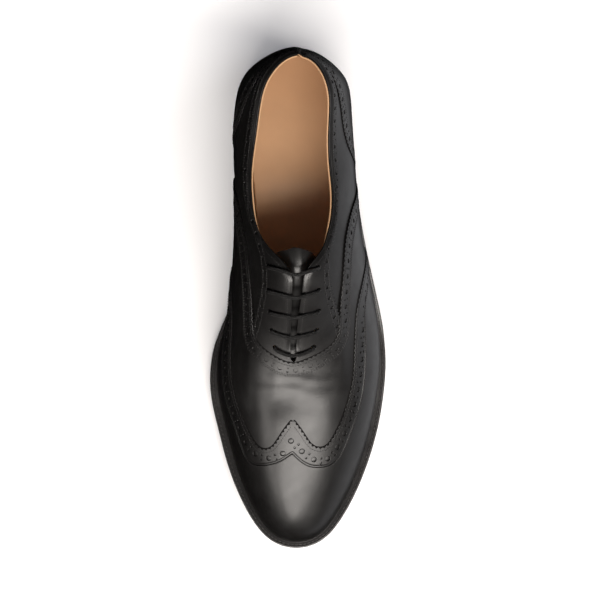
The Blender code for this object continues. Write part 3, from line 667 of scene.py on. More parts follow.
@dataclass
class Sheet:
    """A closed sheet of leather over the last, with softened cut edges."""

    name: str
    pattern: Pattern
    high: Height
    low: Height
    material: bpy.types.Material
    bevel: float = 0.00018
    seen_inside: bool = False
    edge: bpy.types.Material | None = None
    soften: float = 0.0

    def surface(self, u: np.ndarray, v: np.ndarray, height: Height) -> np.ndarray:
        """Give points of the sheet's face at a height function."""
        middle = LAST.skin(u, v, height(u, v) + relief(u, v))
        if not self.soften:
            return middle
        beside = [LAST.skin(u, v + s, height(u, v + s)) for s in (-self.soften, self.soften)]
        return (middle * 2 + beside[0] + beside[1]) / 4

    def normals(self, u: np.ndarray, v: np.ndarray, height: Height) -> np.ndarray:
        """Give the exact normals of the sheet's face, creases and grooves included."""
        u = off_poles(u, v)
        e = FINE_NUDGE
        along = self.surface(u + e, v, height) - self.surface(u - e, v, height)
        v_high, v_low = np.minimum(v + e, 1.0), np.maximum(v - e, -1.0)
        across = self.surface(u, v_high, height) - self.surface(u, v_low, height)
        return unit(np.cross(across, along))

    def build(self) -> bpy.types.Object:
        """Make the sheet's closed mesh.

        Returns:
            The new object.
        """
        spots, faces = self.pattern.cut()
        u, v = spots.T
        count: dict[tuple[int, int], int] = {}
        for a, b, c in faces.tolist():
            for edge in ((a, b), (b, c), (c, a)):
                count[edge] = count.get(edge, 0) + 1
        rim = [(a, b) for a, b in count if (b, a) not in count]
        after = dict(rim)
        before = {b: a for a, b in rim}
        top = self.surface(u, v, self.high)
        under = self.surface(u, v, self.low)
        normal = self.normals(u, v, self.high)
        edge_points = top.copy()
        for here in after:
            back, ahead = before[here], after[here]
            if abs(v[here]) > 1 - ON_SEAM:
                continue
            along = edge_points[ahead] - edge_points[back]
            top[here] = edge_points[here] + unit(np.cross(normal[here], along)) * self.bevel
        rounded = edge_points - normal * self.bevel
        n = len(u)
        ring = {here: 2 * n + i for i, here in enumerate(after)}
        shell = faces.tolist() + [(c + n, b + n, a + n) for a, b, c in faces.tolist()]
        shell += [(b, a, ring[a], ring[b]) for a, b in rim]
        shell += [(ring[b], ring[a], a + n, b + n) for a, b in rim]
        points = np.concatenate([top, under, rounded[list(after)]])
        item = make_object(self.name, points, shell, self.material)
        if self.edge:
            item.data.materials.append(self.edge)
            marks = np.zeros(len(shell), np.int32)
            marks[-len(rim) :] = 1
            item.data.polygons.foreach_set("material_index", marks)
        self.shade(item, spots, normal, faces, len(rim))
        return item

    def shade(
        self, item: bpy.types.Object, spots: Path, normal: np.ndarray, faces: np.ndarray, rim: int
    ) -> None:
        """Give the sheet's faces their exact normals; cut edges keep Blender's own.

        Args:
            item: The sheet's object.
            spots: Its pattern places.
            normal: Normals of its upper places.
            faces: The triangles of its upper face.
            rim: How many edges its rim has.
        """
        corners = [normal[faces].reshape(-1, 3)]
        below = np.zeros_like(corners[0])
        if self.seen_inside:
            below = -self.normals(*spots.T, self.low)[faces[:, ::-1]].reshape(-1, 3)
        corners.append(below)
        quads = [item.data.polygons[2 * len(faces) + i].vertices for i in range(rim)]
        edges = np.zeros((2 * rim, 4, 3))
        for i, (b, a, _, _) in enumerate(quads):
            edges[i, 0], edges[i, 1] = normal[b], normal[a]
        corners.append(edges.reshape(-1, 3))
        item.data.normals_split_custom_set(np.concatenate(corners))


def fill(tree: bpy.types.NodeTree, node: bpy.types.Node, inputs: dict) -> bpy.types.Node:
    """Fill a node's inputs.

    Args:
        tree: The tree that the node is in.
        node: The node.
        inputs: Values, or sockets to link, by the name or number of the input.

    Returns:
        The node.
    """
    for name, value in inputs.items():
        if isinstance(value, bpy.types.NodeSocket):
            tree.links.new(value, node.inputs[name])
        else:
            node.inputs[name].default_value = value
    return node


def add_node(tree: bpy.types.NodeTree, kind: str, inputs: dict, **settings: str) -> bpy.types.Node:
    """Add a node to a tree, with its settings made before its inputs are filled."""
    node = tree.nodes.new(kind)
    for name, value in settings.items():
        setattr(node, name, value)
    return fill(tree, node, inputs)


@dataclass(frozen=True)
class Finish:
    """A procedural finish: base colour, gloss, grain and how they vary."""

    name: str
    colour: tuple[float, float, float]
    roughness: float
    coat: float = 0.0
    coat_roughness: float = 0.1
    specular: float = 0.5
    grain: float = 900.0
    grain_depth: float = 0.00004
    mottle: float = 0.25
    weave: float = 0.0

    def tint(self, share: float) -> tuple[float, ...]:
        """Give the colour made lighter or darker."""
        return (*(channel * share for channel in self.colour), 1.0)

    def material(self) -> bpy.types.Material:
        """Make the node material.

        Returns:
            A material that reads Object coordinates.
        """
        made = bpy.data.materials.new(self.name)
        made.use_nodes = True
        tree = made.node_tree
        place = add_node(tree, "ShaderNodeTexCoord", {}).outputs["Object"]

        def noise(scale: float, detail: float) -> bpy.types.NodeSocket:
            """Add a noise texture and give its value."""
            inputs = {"Scale": scale, "Detail": detail, "Vector": place}
            return add_node(tree, "ShaderNodeTexNoise", inputs).outputs["Fac"]

        tints = {"A": self.tint(1 - self.mottle), "B": self.tint(1 + self.mottle)}
        tints["Factor"] = noise(38.0, 4.0)
        gloss = {"From Min": 0.3, "From Max": 0.7, "Value": noise(110.0, 5.0)}
        gloss |= {"To Min": self.roughness * 0.86, "To Max": self.roughness * 1.16}
        cells = {"Scale": self.grain, "Vector": place}
        pores = add_node(tree, "ShaderNodeTexVoronoi", cells, feature="DISTANCE_TO_EDGE")
        fine = {"Strength": 0.5, "Distance": self.grain_depth, "Height": pores.outputs["Distance"]}
        normal = add_node(tree, "ShaderNodeBump", fine).outputs["Normal"]
        soft = {"Strength": 0.4, "Distance": self.grain_depth * 6, "Height": noise(150.0, 3.0)}
        normal = add_node(tree, "ShaderNodeBump", soft | {"Normal": normal}).outputs["Normal"]
        inputs = {
            "Base Color": add_node(tree, "ShaderNodeMix", tints, data_type="RGBA").outputs["Result"],
            "Roughness": add_node(tree, "ShaderNodeMapRange", gloss).outputs["Result"],
            "Normal": self.plait(tree, normal) if self.weave else normal,
            "Coat Weight": self.coat,
            "Coat Roughness": self.coat_roughness,
            "Specular IOR Level": self.specular,
        }
        fill(tree, tree.nodes["Principled BSDF"], inputs)
        return made

    def plait(self, tree: bpy.types.NodeTree, normal: bpy.types.NodeSocket) -> bpy.types.NodeSocket:
        """Add the crossed strands of a waxed cord, which follow the piece's own UV map."""
        uv = add_node(tree, "ShaderNodeUVMap", {}).outputs["UV"]
        strands = []
        for lean in (1.0, -1.0):
            turned = {"Vector": uv, "Rotation": (0.0, 0.0, lean * math.radians(45))}
            turn = add_node(tree, "ShaderNodeMapping", turned).outputs["Vector"]
            wave = add_node(tree, "ShaderNodeTexWave", {"Scale": self.weave, "Vector": turn})
            strands.append(wave.outputs["Fac"])
        both = add_node(tree, "ShaderNodeMath", dict(enumerate(strands)), operation="MAXIMUM")
        bump = {"Strength": 0.7, "Distance": 0.0002, "Height": both.outputs["Value"], "Normal": normal}
        return add_node(tree, "ShaderNodeBump", bump).outputs["Normal"]


CALF = Finish("black_calf", (0.0048, 0.0044, 0.0043), 0.42, coat=0.36, coat_roughness=0.28, specular=0.40)
# Matt black of the leather's cut edges; the same finish makes the strips of painted shade under the
# gimped edges
CALF_EDGE_AND_SHADE = Finish("black_cut_edge_and_painted_shade", (0.004, 0.0036, 0.0035), 0.8, specular=0.15)
SOLE_EDGE = Finish("black_sole_edge", (0.013, 0.012, 0.012), 0.38, coat=0.3, grain=500.0)
RUBBER = Finish("black_rubber", (0.02, 0.02, 0.02), 0.7, grain=300.0, grain_depth=0.00008)
LINING = Finish("tan_lining", (0.46, 0.27, 0.14), 0.55, grain=700.0, mottle=0.12)
THREAD = Finish("black_thread", (0.012, 0.011, 0.011), 0.42, coat=0.2)
# Welt thread: near-black thread painted a little lighter, a painted glint on its stitches
WELT_THREAD_AND_GLINT = Finish("welt_thread_painted_glint", (0.032, 0.030, 0.029), 0.45, coat=0.2)
CORD = Finish("waxed_lace", (0.0042, 0.0040, 0.0040), 0.45, specular=0.4, weave=1.2)


def level(height: float) -> Height:
    """Make a height above the last that is the same everywhere."""
    return lambda u, v: np.full(len(u), height)


def gimp(path: Path, pitch: float, depth: float) -> Path:
    """Cut an edge into fine teeth; a positive depth points to the right of its line."""
    places = LAST.spaced(path, pitch / 2, even=True)
    push = np.zeros(len(places))
    push[1::2] = depth
    return LAST.shift(places, push)


def back_seam(start: float, end: float) -> list[Spot]:
    """Give the places on the back seam between two heights, the same for both sides."""
    low, high = min(start, end), max(start, end)
    steps = np.arange(0.0, 1.0001, 1 / SEAM_STEPS)
    rising = [low, *(v for v in steps if low + SEAM_FREE < v < high - SEAM_FREE), high]
    return [(1.0, v) for v in (rising if start < end else rising[::-1])]


def toe_fold() -> list[Spot]:
    """Give the places on the toe fold from the outer side over the ridge to the inner."""
    return [(0.0, i / SEAM_STEPS) for i in range(SEAM_STEPS, -SEAM_STEPS - 1, -1)]


def feather(start: float, end: float, sign: int) -> list[Spot]:
    """Give the places on a feather line between two values of u."""
    count = max(2, round(abs(end - start) * FEATHER_STEPS))
    return [(u, float(sign)) for u in np.linspace(start, end, count + 1)]


@dataclass(frozen=True)
class Punches:
    """A row of perforations: large holes with pairs of small ones between them."""

    line: Sequence[Spot]
    pitch: float
    radius: float
    pair_radius: float
    pair_spread: float
    start: float = 0.0
    end: float = 0.0

    def spots(self) -> tuple[list[Spot], list[Spot]]:
        """Give where the large and the small holes stand."""
        path = trace(self.line)
        run = run_of(LAST.points(*path.T))

        def at(places: np.ndarray, aside: float) -> list[Spot]:
            """Give the spots at distances along the row, moved sideways."""
            moved = LAST.shift(path, aside) if aside else path
            return [tuple(spot) for spot in on_path(places, run, moved)]

        large = np.arange(self.start, run[-1] - self.end, self.pitch)
        small = large[:-1] + self.pitch / 2
        pairs = at(small, self.pair_spread) + at(small, -self.pair_spread)
        return at(large, 0.0), pairs


class Trees:
    """The node trees that repeat a small shape along paths and over spots."""

    def __init__(self) -> None:
        """Build both trees."""
        self.rows = self.row_tree()
        self.dots = self.dot_tree()

    @staticmethod
    def start(name: str, sizes: dict[str, float]) -> bpy.types.NodeTree:
        """Make an empty tree with named sizes and a material."""
        tree = bpy.data.node_groups.new(name, "GeometryNodeTree")
        face = tree.interface
        face.new_socket("Geometry", in_out="OUTPUT", socket_type="NodeSocketGeometry")
        face.new_socket("Geometry", in_out="INPUT", socket_type="NodeSocketGeometry")
        for label, value in sizes.items():
            socket = face.new_socket(label, in_out="INPUT", socket_type="NodeSocketFloat")
            socket.default_value = value
        face.new_socket("Material", in_out="INPUT", socket_type="NodeSocketMaterial")
        return tree

    @staticmethod
    def end(tree: bpy.types.NodeTree, placed: dict, source: bpy.types.Node) -> None:
        """Place instances, realize them and give them their material.

        Args:
            tree: The tree.
            placed: The points, the instance, its rotation and its scale, by input.
            source: The node of the tree's own inputs.
        """
        spread = add_node(tree, "GeometryNodeInstanceOnPoints", placed).outputs["Instances"]
        real = add_node(tree, "GeometryNodeRealizeInstances", {"Geometry": spread})
        smooth = {"Geometry": real.outputs["Geometry"]}
        smooth = add_node(tree, "GeometryNodeSetShadeSmooth", smooth).outputs["Geometry"]
        inputs = {"Geometry": smooth, "Material": source.outputs["Material"]}
        finish = add_node(tree, "GeometryNodeSetMaterial", inputs).outputs["Geometry"]
        add_node(tree, "NodeGroupOutput", {"Geometry": finish})

    @staticmethod
    def read(tree: bpy.types.NodeTree, name: str, kind: str) -> bpy.types.NodeSocket:
        """Read an attribute of the base mesh."""
        inputs = {"Name": name}
        node = add_node(tree, "GeometryNodeInputNamedAttribute", inputs, data_type=kind)
        return node.outputs["Attribute"]

    def facing_up(self, tree: bpy.types.NodeTree) -> bpy.types.NodeSocket:
        """Turn each instance's Z to the attribute that holds the surface's normal."""
        up = {"Vector": self.read(tree, "up", "FLOAT_VECTOR")}
        return add_node(tree, "FunctionNodeAlignRotationToVector", up, axis="Z").outputs["Rotation"]

    @staticmethod
    def ball(tree: bpy.types.NodeTree, segments: int, rings: int, size: dict) -> bpy.types.NodeSocket:
        """Make a ball with its poles along X, scaled by sizes along X, Y and Z."""
        round_ball = {"Segments": segments, "Rings": rings, "Radius": 0.5}
        mesh = add_node(tree, "GeometryNodeMeshUVSphere", round_ball).outputs["Mesh"]
        lay = {"Geometry": mesh, "Rotation": (0.0, math.pi / 2, 0.0)}
        laid = add_node(tree, "GeometryNodeTransform", lay).outputs["Geometry"]
        scale = add_node(tree, "ShaderNodeCombineXYZ", size).outputs["Vector"]
        grow = {"Geometry": laid, "Scale": scale}
        return add_node(tree, "GeometryNodeTransform", grow).outputs["Geometry"]

    def row_tree(self) -> bpy.types.NodeTree:
        """Build the tree that sets stitches along paths at an even pitch."""
        sizes = {"Pitch": 0.0016, "Length": 0.0012, "Width": 0.0005, "Height": 0.0003}
        tree = self.start("stitch_rows", sizes)
        source = add_node(tree, "NodeGroupInput", {})
        given = source.outputs
        thread = add_node(tree, "GeometryNodeMeshToCurve", {"Mesh": given["Geometry"]})
        steps = {"Curve": thread.outputs["Curve"], "Length": given["Pitch"]}
        points = add_node(tree, "GeometryNodeResampleCurve", steps, mode="LENGTH").outputs["Curve"]
        size = {"X": given["Length"], "Y": given["Width"], "Z": given["Height"]}
        stitch = self.ball(tree, 6, 5, size)
        tangent = add_node(tree, "GeometryNodeInputTangent", {}).outputs["Tangent"]
        along = {"Rotation": self.facing_up(tree), "Vector": tangent}
        kind = "FunctionNodeAlignRotationToVector"
        turn = add_node(tree, kind, along, axis="X", pivot_axis="Z").outputs["Rotation"]
        self.end(tree, {"Points": points, "Instance": stitch, "Rotation": turn}, source)
        return tree

    def dot_tree(self) -> bpy.types.NodeTree:
        """Build the tree that sets a low dome into each punched hole."""
        tree = self.start("punch_floors", {"Dome": 0.3})
        source = add_node(tree, "NodeGroupInput", {})
        dome = self.ball(tree, 12, 7, {"X": 2.0, "Y": 2.0, "Z": source.outputs["Dome"]})
        placed = {"Points": source.outputs["Geometry"], "Instance": dome}
        placed |= {"Rotation": self.facing_up(tree), "Scale": self.read(tree, "size", "FLOAT")}
        self.end(tree, placed, source)
        return tree

    @staticmethod
    def run(name: str, tree: bpy.types.NodeTree, base: bpy.types.Mesh, values: dict) -> bpy.types.Object:
        """Run a tree over a base mesh and keep the result as a plain mesh.

        Args:
            name: Name of the new piece.
            tree: The node tree.
            base: The paths or spots with their attributes.
            values: Values by the name of the tree's input.

        Returns:
            The finished object.
        """
        item = bpy.data.objects.new(name, base)
        bpy.context.scene.collection.objects.link(item)
        modifier = item.modifiers.new(name, "NODES")
        modifier.node_group = tree
        for socket in tree.interface.items_tree:
            if socket.in_out == "INPUT" and socket.name in values:
                modifier[socket.identifier] = values[socket.name]
        made = item.evaluated_get(bpy.context.evaluated_depsgraph_get())
        mesh = bpy.data.meshes.new_from_object(made)
        item.modifiers.clear()
        item.data = mesh
        mesh.name = name
        return item


@dataclass
class Places:
    """Paths or single spots on surfaces, gathered into one mesh with the surfaces' normals."""

    points: list[np.ndarray] = field(default_factory=list)
    ups: list[np.ndarray] = field(default_factory=list)
    sizes: list[float] = field(default_factory=list)

    def add(self, points: np.ndarray, ups: np.ndarray, *size: float) -> None:
        """Add one path, or one spot with its radius."""
        self.points.append(points)
        self.ups.append(ups)
        self.sizes += size

    def mesh(self, name: str) -> bpy.types.Mesh:
        """Make the mesh whose edges are the paths, with what the trees read."""
        made = bpy.data.meshes.new(name)
        edges, first = [], 0
        for path in self.points:
            edges += [(first + i, first + i + 1) for i in range(len(path) - 1)]
            first += len(path)
        made.from_pydata([tuple(p) for p in np.concatenate(self.points)], edges, [])
        up = made.attributes.new("up", "FLOAT_VECTOR", "POINT")
        up.data.foreach_set("vector", np.concatenate(self.ups).astype(np.float32).ravel())
        if self.sizes:
            size = made.attributes.new("size", "FLOAT", "POINT")
            size.data.foreach_set("value", np.array(self.sizes, np.float32))
        return made


# Front edge of the wing's raised band, inner side then outer side of its notch
BAND_INNER = (
    (0.534, -1.000), (0.509, -0.798), (0.470, -0.726), (0.424, -0.697), (0.374, -0.661),
    (0.323, -0.595), (0.2659, -0.4806), (0.2553, -0.3379), (0.2516, -0.2223), (0.2523, -0.1052),
    (0.2579, -0.0148),
)
BAND_OUTER = (
    (0.2579, -0.0148), (0.2450, 0.0475), (0.2388, 0.1368), (0.2434, 0.2295), (0.2508, 0.3112),
    (0.2660, 0.3850), (0.3165, 0.4784), (0.3664, 0.5501), (0.4138, 0.5733), (0.4585, 0.5864),
    (0.5010, 0.6460), (0.5303, 0.8251), (0.5500, 1.0000),
)

# Perforations: pitch, radius, radius of the small ones and how far these stand aside
FACING_HOLES = (0.0078, 0.00105, 0.00045, 0.0015)
COUNTER_HOLES = (0.0092, 0.0014, 0.0006, 0.0012)
VAMP_HOLES = (0.0091, 0.0013, 0.00055, 0.0012)
WING_HOLES = (0.0091, 0.0016, 0.00068, 0.0015)

# Distances from an edge to the row of perforations behind it, and to its rows of stitches
FACING_HOLE_LINE, COUNTER_HOLE_LINE, VAMP_HOLE_LINE = 0.0029, 0.0040, 0.0042
FACING_STITCHES = (0.0012, 0.0046)
COUNTER_STITCHES = (0.0012, 0.0070)
VAMP_STITCHES = (0.0013, 0.0072, 0.0082)
ROLL_ROWS = (0.0007, 0.0014, 0.0022)
BAND_ROWS = (-0.0010, -0.0005, 0.0, 0.0004, 0.0009, 0.0015, 0.0022)
FEATHER_ROWS = (-0.985, -0.965, 0.965, 0.985)
FEATHER_ROW_SPAN = (0.004, 0.52, 94)
WING_STITCHES, BAND_STITCHES, PEAK_FREE, STITCH_LIMIT = 0.0014, 0.0011, 0.012, 0.985

# Where the facings' edge starts to roll, and where the vamp rises over their feet
ROLL_START, ROLL_FADE = 0.432, 0.025
FOOT_EDGE, FOOT_EDGE_FADE, FOOT_START, FOOT_START_FADE = 0.44, 0.10, 0.375, 0.035
BEYOND_TOE = ((-1.2, 1.0), (-1.2, -1.0))

# The facings' foot under the vamp: u and v on the outer side
FACING_FOOT = ((0.411, 0.08), (0.424, 0.20), (0.437, 0.32))

# Lines that the wing's perforations follow, both from the hole under the peak
WING_PUNCH_INNER = (
    (0.2823, -0.0202), (0.2626, -0.1000), (0.2600, -0.1700), (0.2626, -0.2479),
    (0.2883, -0.4438), (0.3403, -0.5599), (0.3909, -0.6203), (0.4400, -0.6546),
    (0.4830, -0.6964), (0.5199, -0.7956), (0.5400, -0.9600),
)
WING_PUNCH_OUTER = (
    (0.2823, -0.0202), (0.2633, 0.0628), (0.2530, 0.1685), (0.2645, 0.3092), (0.2815, 0.3600),
    (0.3332, 0.4537), (0.3817, 0.5114), (0.4279, 0.5400), (0.4680, 0.5680), (0.5050, 0.6560),
    (0.5360, 0.8212), (0.5540, 0.9500),
)


@dataclass
class Upper:
    """The whole upper: quarters, lining, overlays, tongue, stitching and perforations."""

    border_step: float = 0.002
    wall: float = 0.0009
    lining_wall: float = 0.0017
    lining_proud: float = 0.0005
    lining_inset: float = 0.0012
    bed_height: float = 0.00004
    counter_top: float = 0.0007
    facing_top: float = 0.0012
    facing_out: float = 0.0008
    vamp_top: float = 0.0010
    vamp_lift: float = 0.0006
    cap_top: float = 0.0013
    band_rise: float = 0.00035
    groove: float = 0.0006
    groove_width: float = 0.0005
    groove_ahead: float = 0.0003
    tooth_pitch: float = 0.0028
    tooth_depth: float = 0.0011
    eyelet_radius: float = 0.0016
    edge_roll: float = 0.0011
    edge_roll_width: float = 0.0032
    punch_depth: float = 0.00070
    floor_size: float = 1.06
    tongue_soften: float = 0.13
    tongue_drop: float = 0.0029
    stitch_lift: float = 0.00005
    # Sizes of the strips of painted shade laid under the gimped edges
    strip_out: float = 0.00025
    strip_in: float = 0.0016
    strip_rise: float = 0.00006
    strip_bevel: float = 0.00003
    rows: Places = field(default_factory=Places)
    spots: Places = field(default_factory=Places)

    def __post_init__(self) -> None:
        """Draw the lines that several pieces share."""
        self.bed = level(self.bed_height)
        self.calf = CALF.material()
        # Matt black for the cut edges, and for the strips of painted shade under the gimped edges
        self.cut = CALF_EDGE_AND_SHADE.material()
        self.tan = LINING.material()
        self.cap_inner, self.cap_outer = trace(CAP_INNER), trace(CAP_OUTER)
        self.band = np.concatenate([trace(BAND_INNER), trace(BAND_OUTER)[1:]])
        self.rims = {side: self.rim(side) for side in Side}

    def rim(self, side: Side) -> Path:
        """Give one side of the opening's edge, from the throat's foot to the back seam."""
        rows = side_of(COLLAR, side)
        slit, collar = trace(rows[:THROAT_ROWS]), trace(rows[THROAT_ROWS - 1 :])
        return np.concatenate([[THROAT_FOOT], slit, collar[1:]])

    def whole_border(self, inset: float = 0.0, proud: float = 0.0) -> Path:
        """Give the border of the whole upper.

        Args:
            inset: How far the slit's edges are moved back from the opening.
            proud: How far the collar's edge stands above the line.

        Returns:
            The closed border.
        """
        edges = []
        for side in Side:
            rim = LAST.spaced(self.rims[side], self.border_step)
            high = ease((rim[:, 0] - COLLAR_START) / COLLAR_BLEND)
            push = (proud * high - inset * (1 - high)) * -side.sign
            moved = LAST.shift(rim, push)
            moved[0] = rim[0]
            edges.append(moved)
        top = (abs(edges[0][-1, 1]) + abs(edges[1][-1, 1])) / 2
        for side, moved in zip(Side, edges):
            moved[-1] = (1.0, side.sign * top)
        seam = back_seam(top, 1.0)
        border = feather(0.0, 1.0, -1)[:-1] + [(1.0, -v) for _, v in seam[:0:-1]]
        border += [tuple(p) for p in np.concatenate([edges[0][::-1], edges[1][1:]])]
        border += seam[1:] + feather(1.0, 0.0, 1)[1:-1] + toe_fold()[:-1]
        return np.array(border)

    def eyelets(self, *sides: Side) -> list[Path]:
        """Give the rings of the lace holes on the sides."""
        spots = [row[side.hole : side.hole + 2] for row in EYELETS for side in sides]
        return [LAST.circle(spot, self.eyelet_radius, HOLE_SIDES) for spot in spots]

    def rolled(self, height: float, line: Path) -> Height:
        """Make a height that rolls down towards an edge."""

        def at(u: np.ndarray, v: np.ndarray) -> np.ndarray:
            """Give the height at places."""
            share = 1 - np.clip(reach_of(u, v, line) / self.edge_roll_width, 0, 1)
            return height - self.edge_roll * share**2 * ease((u - ROLL_START) / ROLL_FADE)

        return at

    def add(self, sheet: Sheet, *nodes: str, slot: str = "calf") -> None:
        """Build a sheet and hide the nodes that it stands for."""
        if sheet.material is self.calf:
            sheet.edge = self.cut
        settle(sheet.build(), slot, *nodes)

    def stitch(self, path: Path, height: Height) -> None:
        """Lay a row of stitches along a pattern line at a height above the last."""
        fine = LAST.spaced(path, 0.001)
        fine = fine[np.abs(fine[:, 1]) < STITCH_LIMIT]
        u, v = fine.T
        tall = height(u, v) + relief(u, v) + self.stitch_lift
        self.rows.add(LAST.skin(u, v, tall), LAST.outward(u, v))

    def punch(self, row: Punches, height: Height) -> list[Path]:
        """Punch a row of perforations and set their floors.

        Args:
            row: The row.
            height: Height of the leather's face above the last.

        Returns:
            The rings to cut out of the leather.
        """
        rings = []
        kinds = (row.radius, row.pair_radius), (LARGE_SIDES, SMALL_SIDES)
        for spots, radius, sides in zip(row.spots(), *kinds):
            for spot in spots:
                rings.append(LAST.circle(spot, radius, sides))
                u, v = np.array([spot[0]]), np.array([spot[1]])
                floor = height(u, v) + relief(u, v) - self.punch_depth
                self.spots.add(LAST.skin(u, v, floor), LAST.outward(u, v), radius * self.floor_size)
        return rings

    def strip(self, name: str, line: Path, aside: int, height: Height) -> None:
        """Lay a matt dark strip under a gimped edge, as painted shade that shows between its teeth.

        Args:
            name: Name of the strip.
            line: The line that the teeth stand on.
            aside: The side that the teeth point to: 1 is to the right of the line.
            height: Height of the leather under the strip.
        """
        fine = LAST.spaced(line, 0.0016)
        out, back = self.tooth_depth + self.strip_out, -self.strip_in
        edges = [LAST.shift(fine, aside * d) for d in (out, back)]
        for edge in edges:
            edge[:, 1] = np.clip(edge[:, 1], -1.0, 1.0)
        border = np.concatenate([edges[0], edges[1][::-1]])
        high, low = (
            lambda u, v: height(u, v) + self.strip_rise,
            lambda u, v: height(u, v) - self.strip_rise,
        )
        pattern = Pattern([border], step=0.0018)
        self.add(Sheet(name, pattern, high, low, self.cut, self.strip_bevel))

    def build_quarters(self) -> None:
        """Make the black shell of the quarters and the tan lining inside it."""
        holes = self.eyelets(*Side)
        shell = Pattern([self.whole_border()], rings=holes, step=0.0024)
        self.add(Sheet("quarters", shell, level(0.0), level(-self.wall), self.calf), "upper")
        border = self.whole_border(inset=self.lining_inset, proud=self.lining_proud)
        inner = Pattern([border], rings=holes, step=0.0028)
        outside, inside_face = level(-self.wall - self.bed_height), level(-self.lining_wall)
        lining = Sheet("lining", inner, outside, inside_face, self.tan)
        lining.seen_inside = True
        self.add(lining, slot="lining_leather")

    def build_facings(self) -> None:
        """Make both facings, each with its strip along the collar."""
        for side, name in ((Side.INNER, "medial"), (Side.OUTER, "lateral")):
            sign = side.sign
            lower = LAST.shift(trace(side_of(FACING_LINE, side)), self.facing_out * sign)
            lower[-1, 0] = 1.0
            edge = gimp(lower, self.tooth_pitch, self.tooth_depth * sign)
            rim = LAST.spaced(self.rims[side], 0.0018)
            seam = [(1.0, sign * v) for _, v in back_seam(abs(lower[-1, 1]), abs(rim[-1, 1]))]
            border = [tuple(p) for p in edge] + seam[1:-1] + [tuple(p) for p in rim[::-1]]
            border += [(0.409, THROAT_CENTRE)] + [(u, sign * v) for u, v in FACING_FOOT]
            high = self.rolled(self.facing_top, self.rims[side])
            rolls = [LAST.shift(rim, sign * d)[3:-2] for d in ROLL_ROWS]
            line = LAST.shift(lower, -sign * FACING_HOLE_LINE)
            row = Punches(line[4:-2], *FACING_HOLES)
            rings = self.eyelets(side) + self.punch(row, high)
            pattern = Pattern([np.array(border)], rows=rolls, rings=rings, step=0.0020)
            sheet = Sheet(f"facing_{name}_leather", pattern, high, self.bed, self.calf)
            self.add(sheet, f"facing_{name}")
            # A strip of painted shade shows dark between the teeth of the facing's edge
            self.strip(f"facing_{name}_edge", lower[:-2], sign, level(0.0))
            for inset in FACING_STITCHES:
                self.stitch(LAST.shift(lower, -sign * inset), high)
            self.stitch(LAST.shift(self.rims[side][2:], sign * ROLL_ROWS[-1]), high)

    def build_counter(self) -> None:
        """Make the heel counter, whose halves join on the back seam."""
        borders, rings = [], []
        high = level(self.counter_top)
        for side in Side:
            sign = side.sign
            front = trace(side_of(COUNTER_LINE, side))
            edge = gimp(front, self.tooth_pitch, self.tooth_depth * sign)
            border = [tuple(p) for p in edge] + feather(COUNTER_LINE[-1][0], 1.0, sign)[1:]
            border += [(1.0, sign * v) for _, v in back_seam(1.0, 0.5)[1:]]
            borders.append(np.array(border))
            line = LAST.shift(front, -sign * COUNTER_HOLE_LINE)
            row = Punches(line[4:-4], *COUNTER_HOLES)
            rings += self.punch(row, high)
            # A strip of painted shade shows dark between the teeth of the counter's edge
            self.strip(f"counter_shade_strip_{side.name.lower()}", front[2:-3], sign, level(0.0))
            for inset in COUNTER_STITCHES:
                self.stitch(LAST.shift(front, -sign * inset), high)
        pattern = Pattern(borders, rings=rings, step=0.0022)
        self.add(Sheet("counter_leather", pattern, high, self.bed, self.calf), "heel_counter")

    @staticmethod
    def over_facings(u: np.ndarray, v: np.ndarray) -> np.ndarray:
        """Tell how far, from 0 to 1, a place lies over the feet of the facings."""
        across = ease((FOOT_EDGE - np.abs(v)) / FOOT_EDGE_FADE)
        return across * ease((u - FOOT_START) / FOOT_START_FADE)

    def vamp_height(self, u: np.ndarray, v: np.ndarray) -> np.ndarray:
        """Give the vamp's face, which rises where the feet of the facings lie under it."""
        return self.vamp_top + self.vamp_lift * self.over_facings(u, v)

    def build_vamp(self) -> None:
        """Make the vamp, which runs on under the wings to the toe."""
        rear = trace(VAMP_LINE)
        edge = gimp(rear, self.tooth_pitch, -self.tooth_depth)
        border = [tuple(p) for p in edge] + feather(VAMP_LINE[-1][0], 0.0, 1)[1:-1] + toe_fold()
        border += feather(0.0, VAMP_LINE[0][0], -1)[1:-1]
        line = LAST.shift(rear, VAMP_HOLE_LINE)
        row = Punches(line[8:-8], *VAMP_HOLES)
        rings = self.punch(row, self.vamp_height)
        pattern = Pattern([np.array(border)], rings=rings, step=0.0022)
        self.add(Sheet("vamp_leather", pattern, self.vamp_height, self.bed, self.calf), "vamp")
        # A strip of painted shade shows dark between the teeth of the vamp's edge
        self.strip("vamp_shade_strip", rear[3:-3], -1, lambda u, v: self.facing_top * self.over_facings(u, v))
        for inset in VAMP_STITCHES:
            self.stitch(LAST.shift(rear, inset), self.vamp_height)

    def cap_height(self, u: np.ndarray, v: np.ndarray) -> np.ndarray:
        """Give the wing's face: the toe, a groove, and the raised band behind it."""
        line = self.band_line
        away = reach_of(u, v, line)
        toe = inside(np.concatenate([line, BEYOND_TOE]), np.stack([u, v], axis=-1))
        signed = np.where(toe, -away, away)
        rise = self.band_rise * ease(0.5 + signed / self.groove_width)
        cut = self.groove * np.exp(-(((signed + self.groove_ahead) / self.groove_width) ** 2))
        return self.cap_top + rise - cut

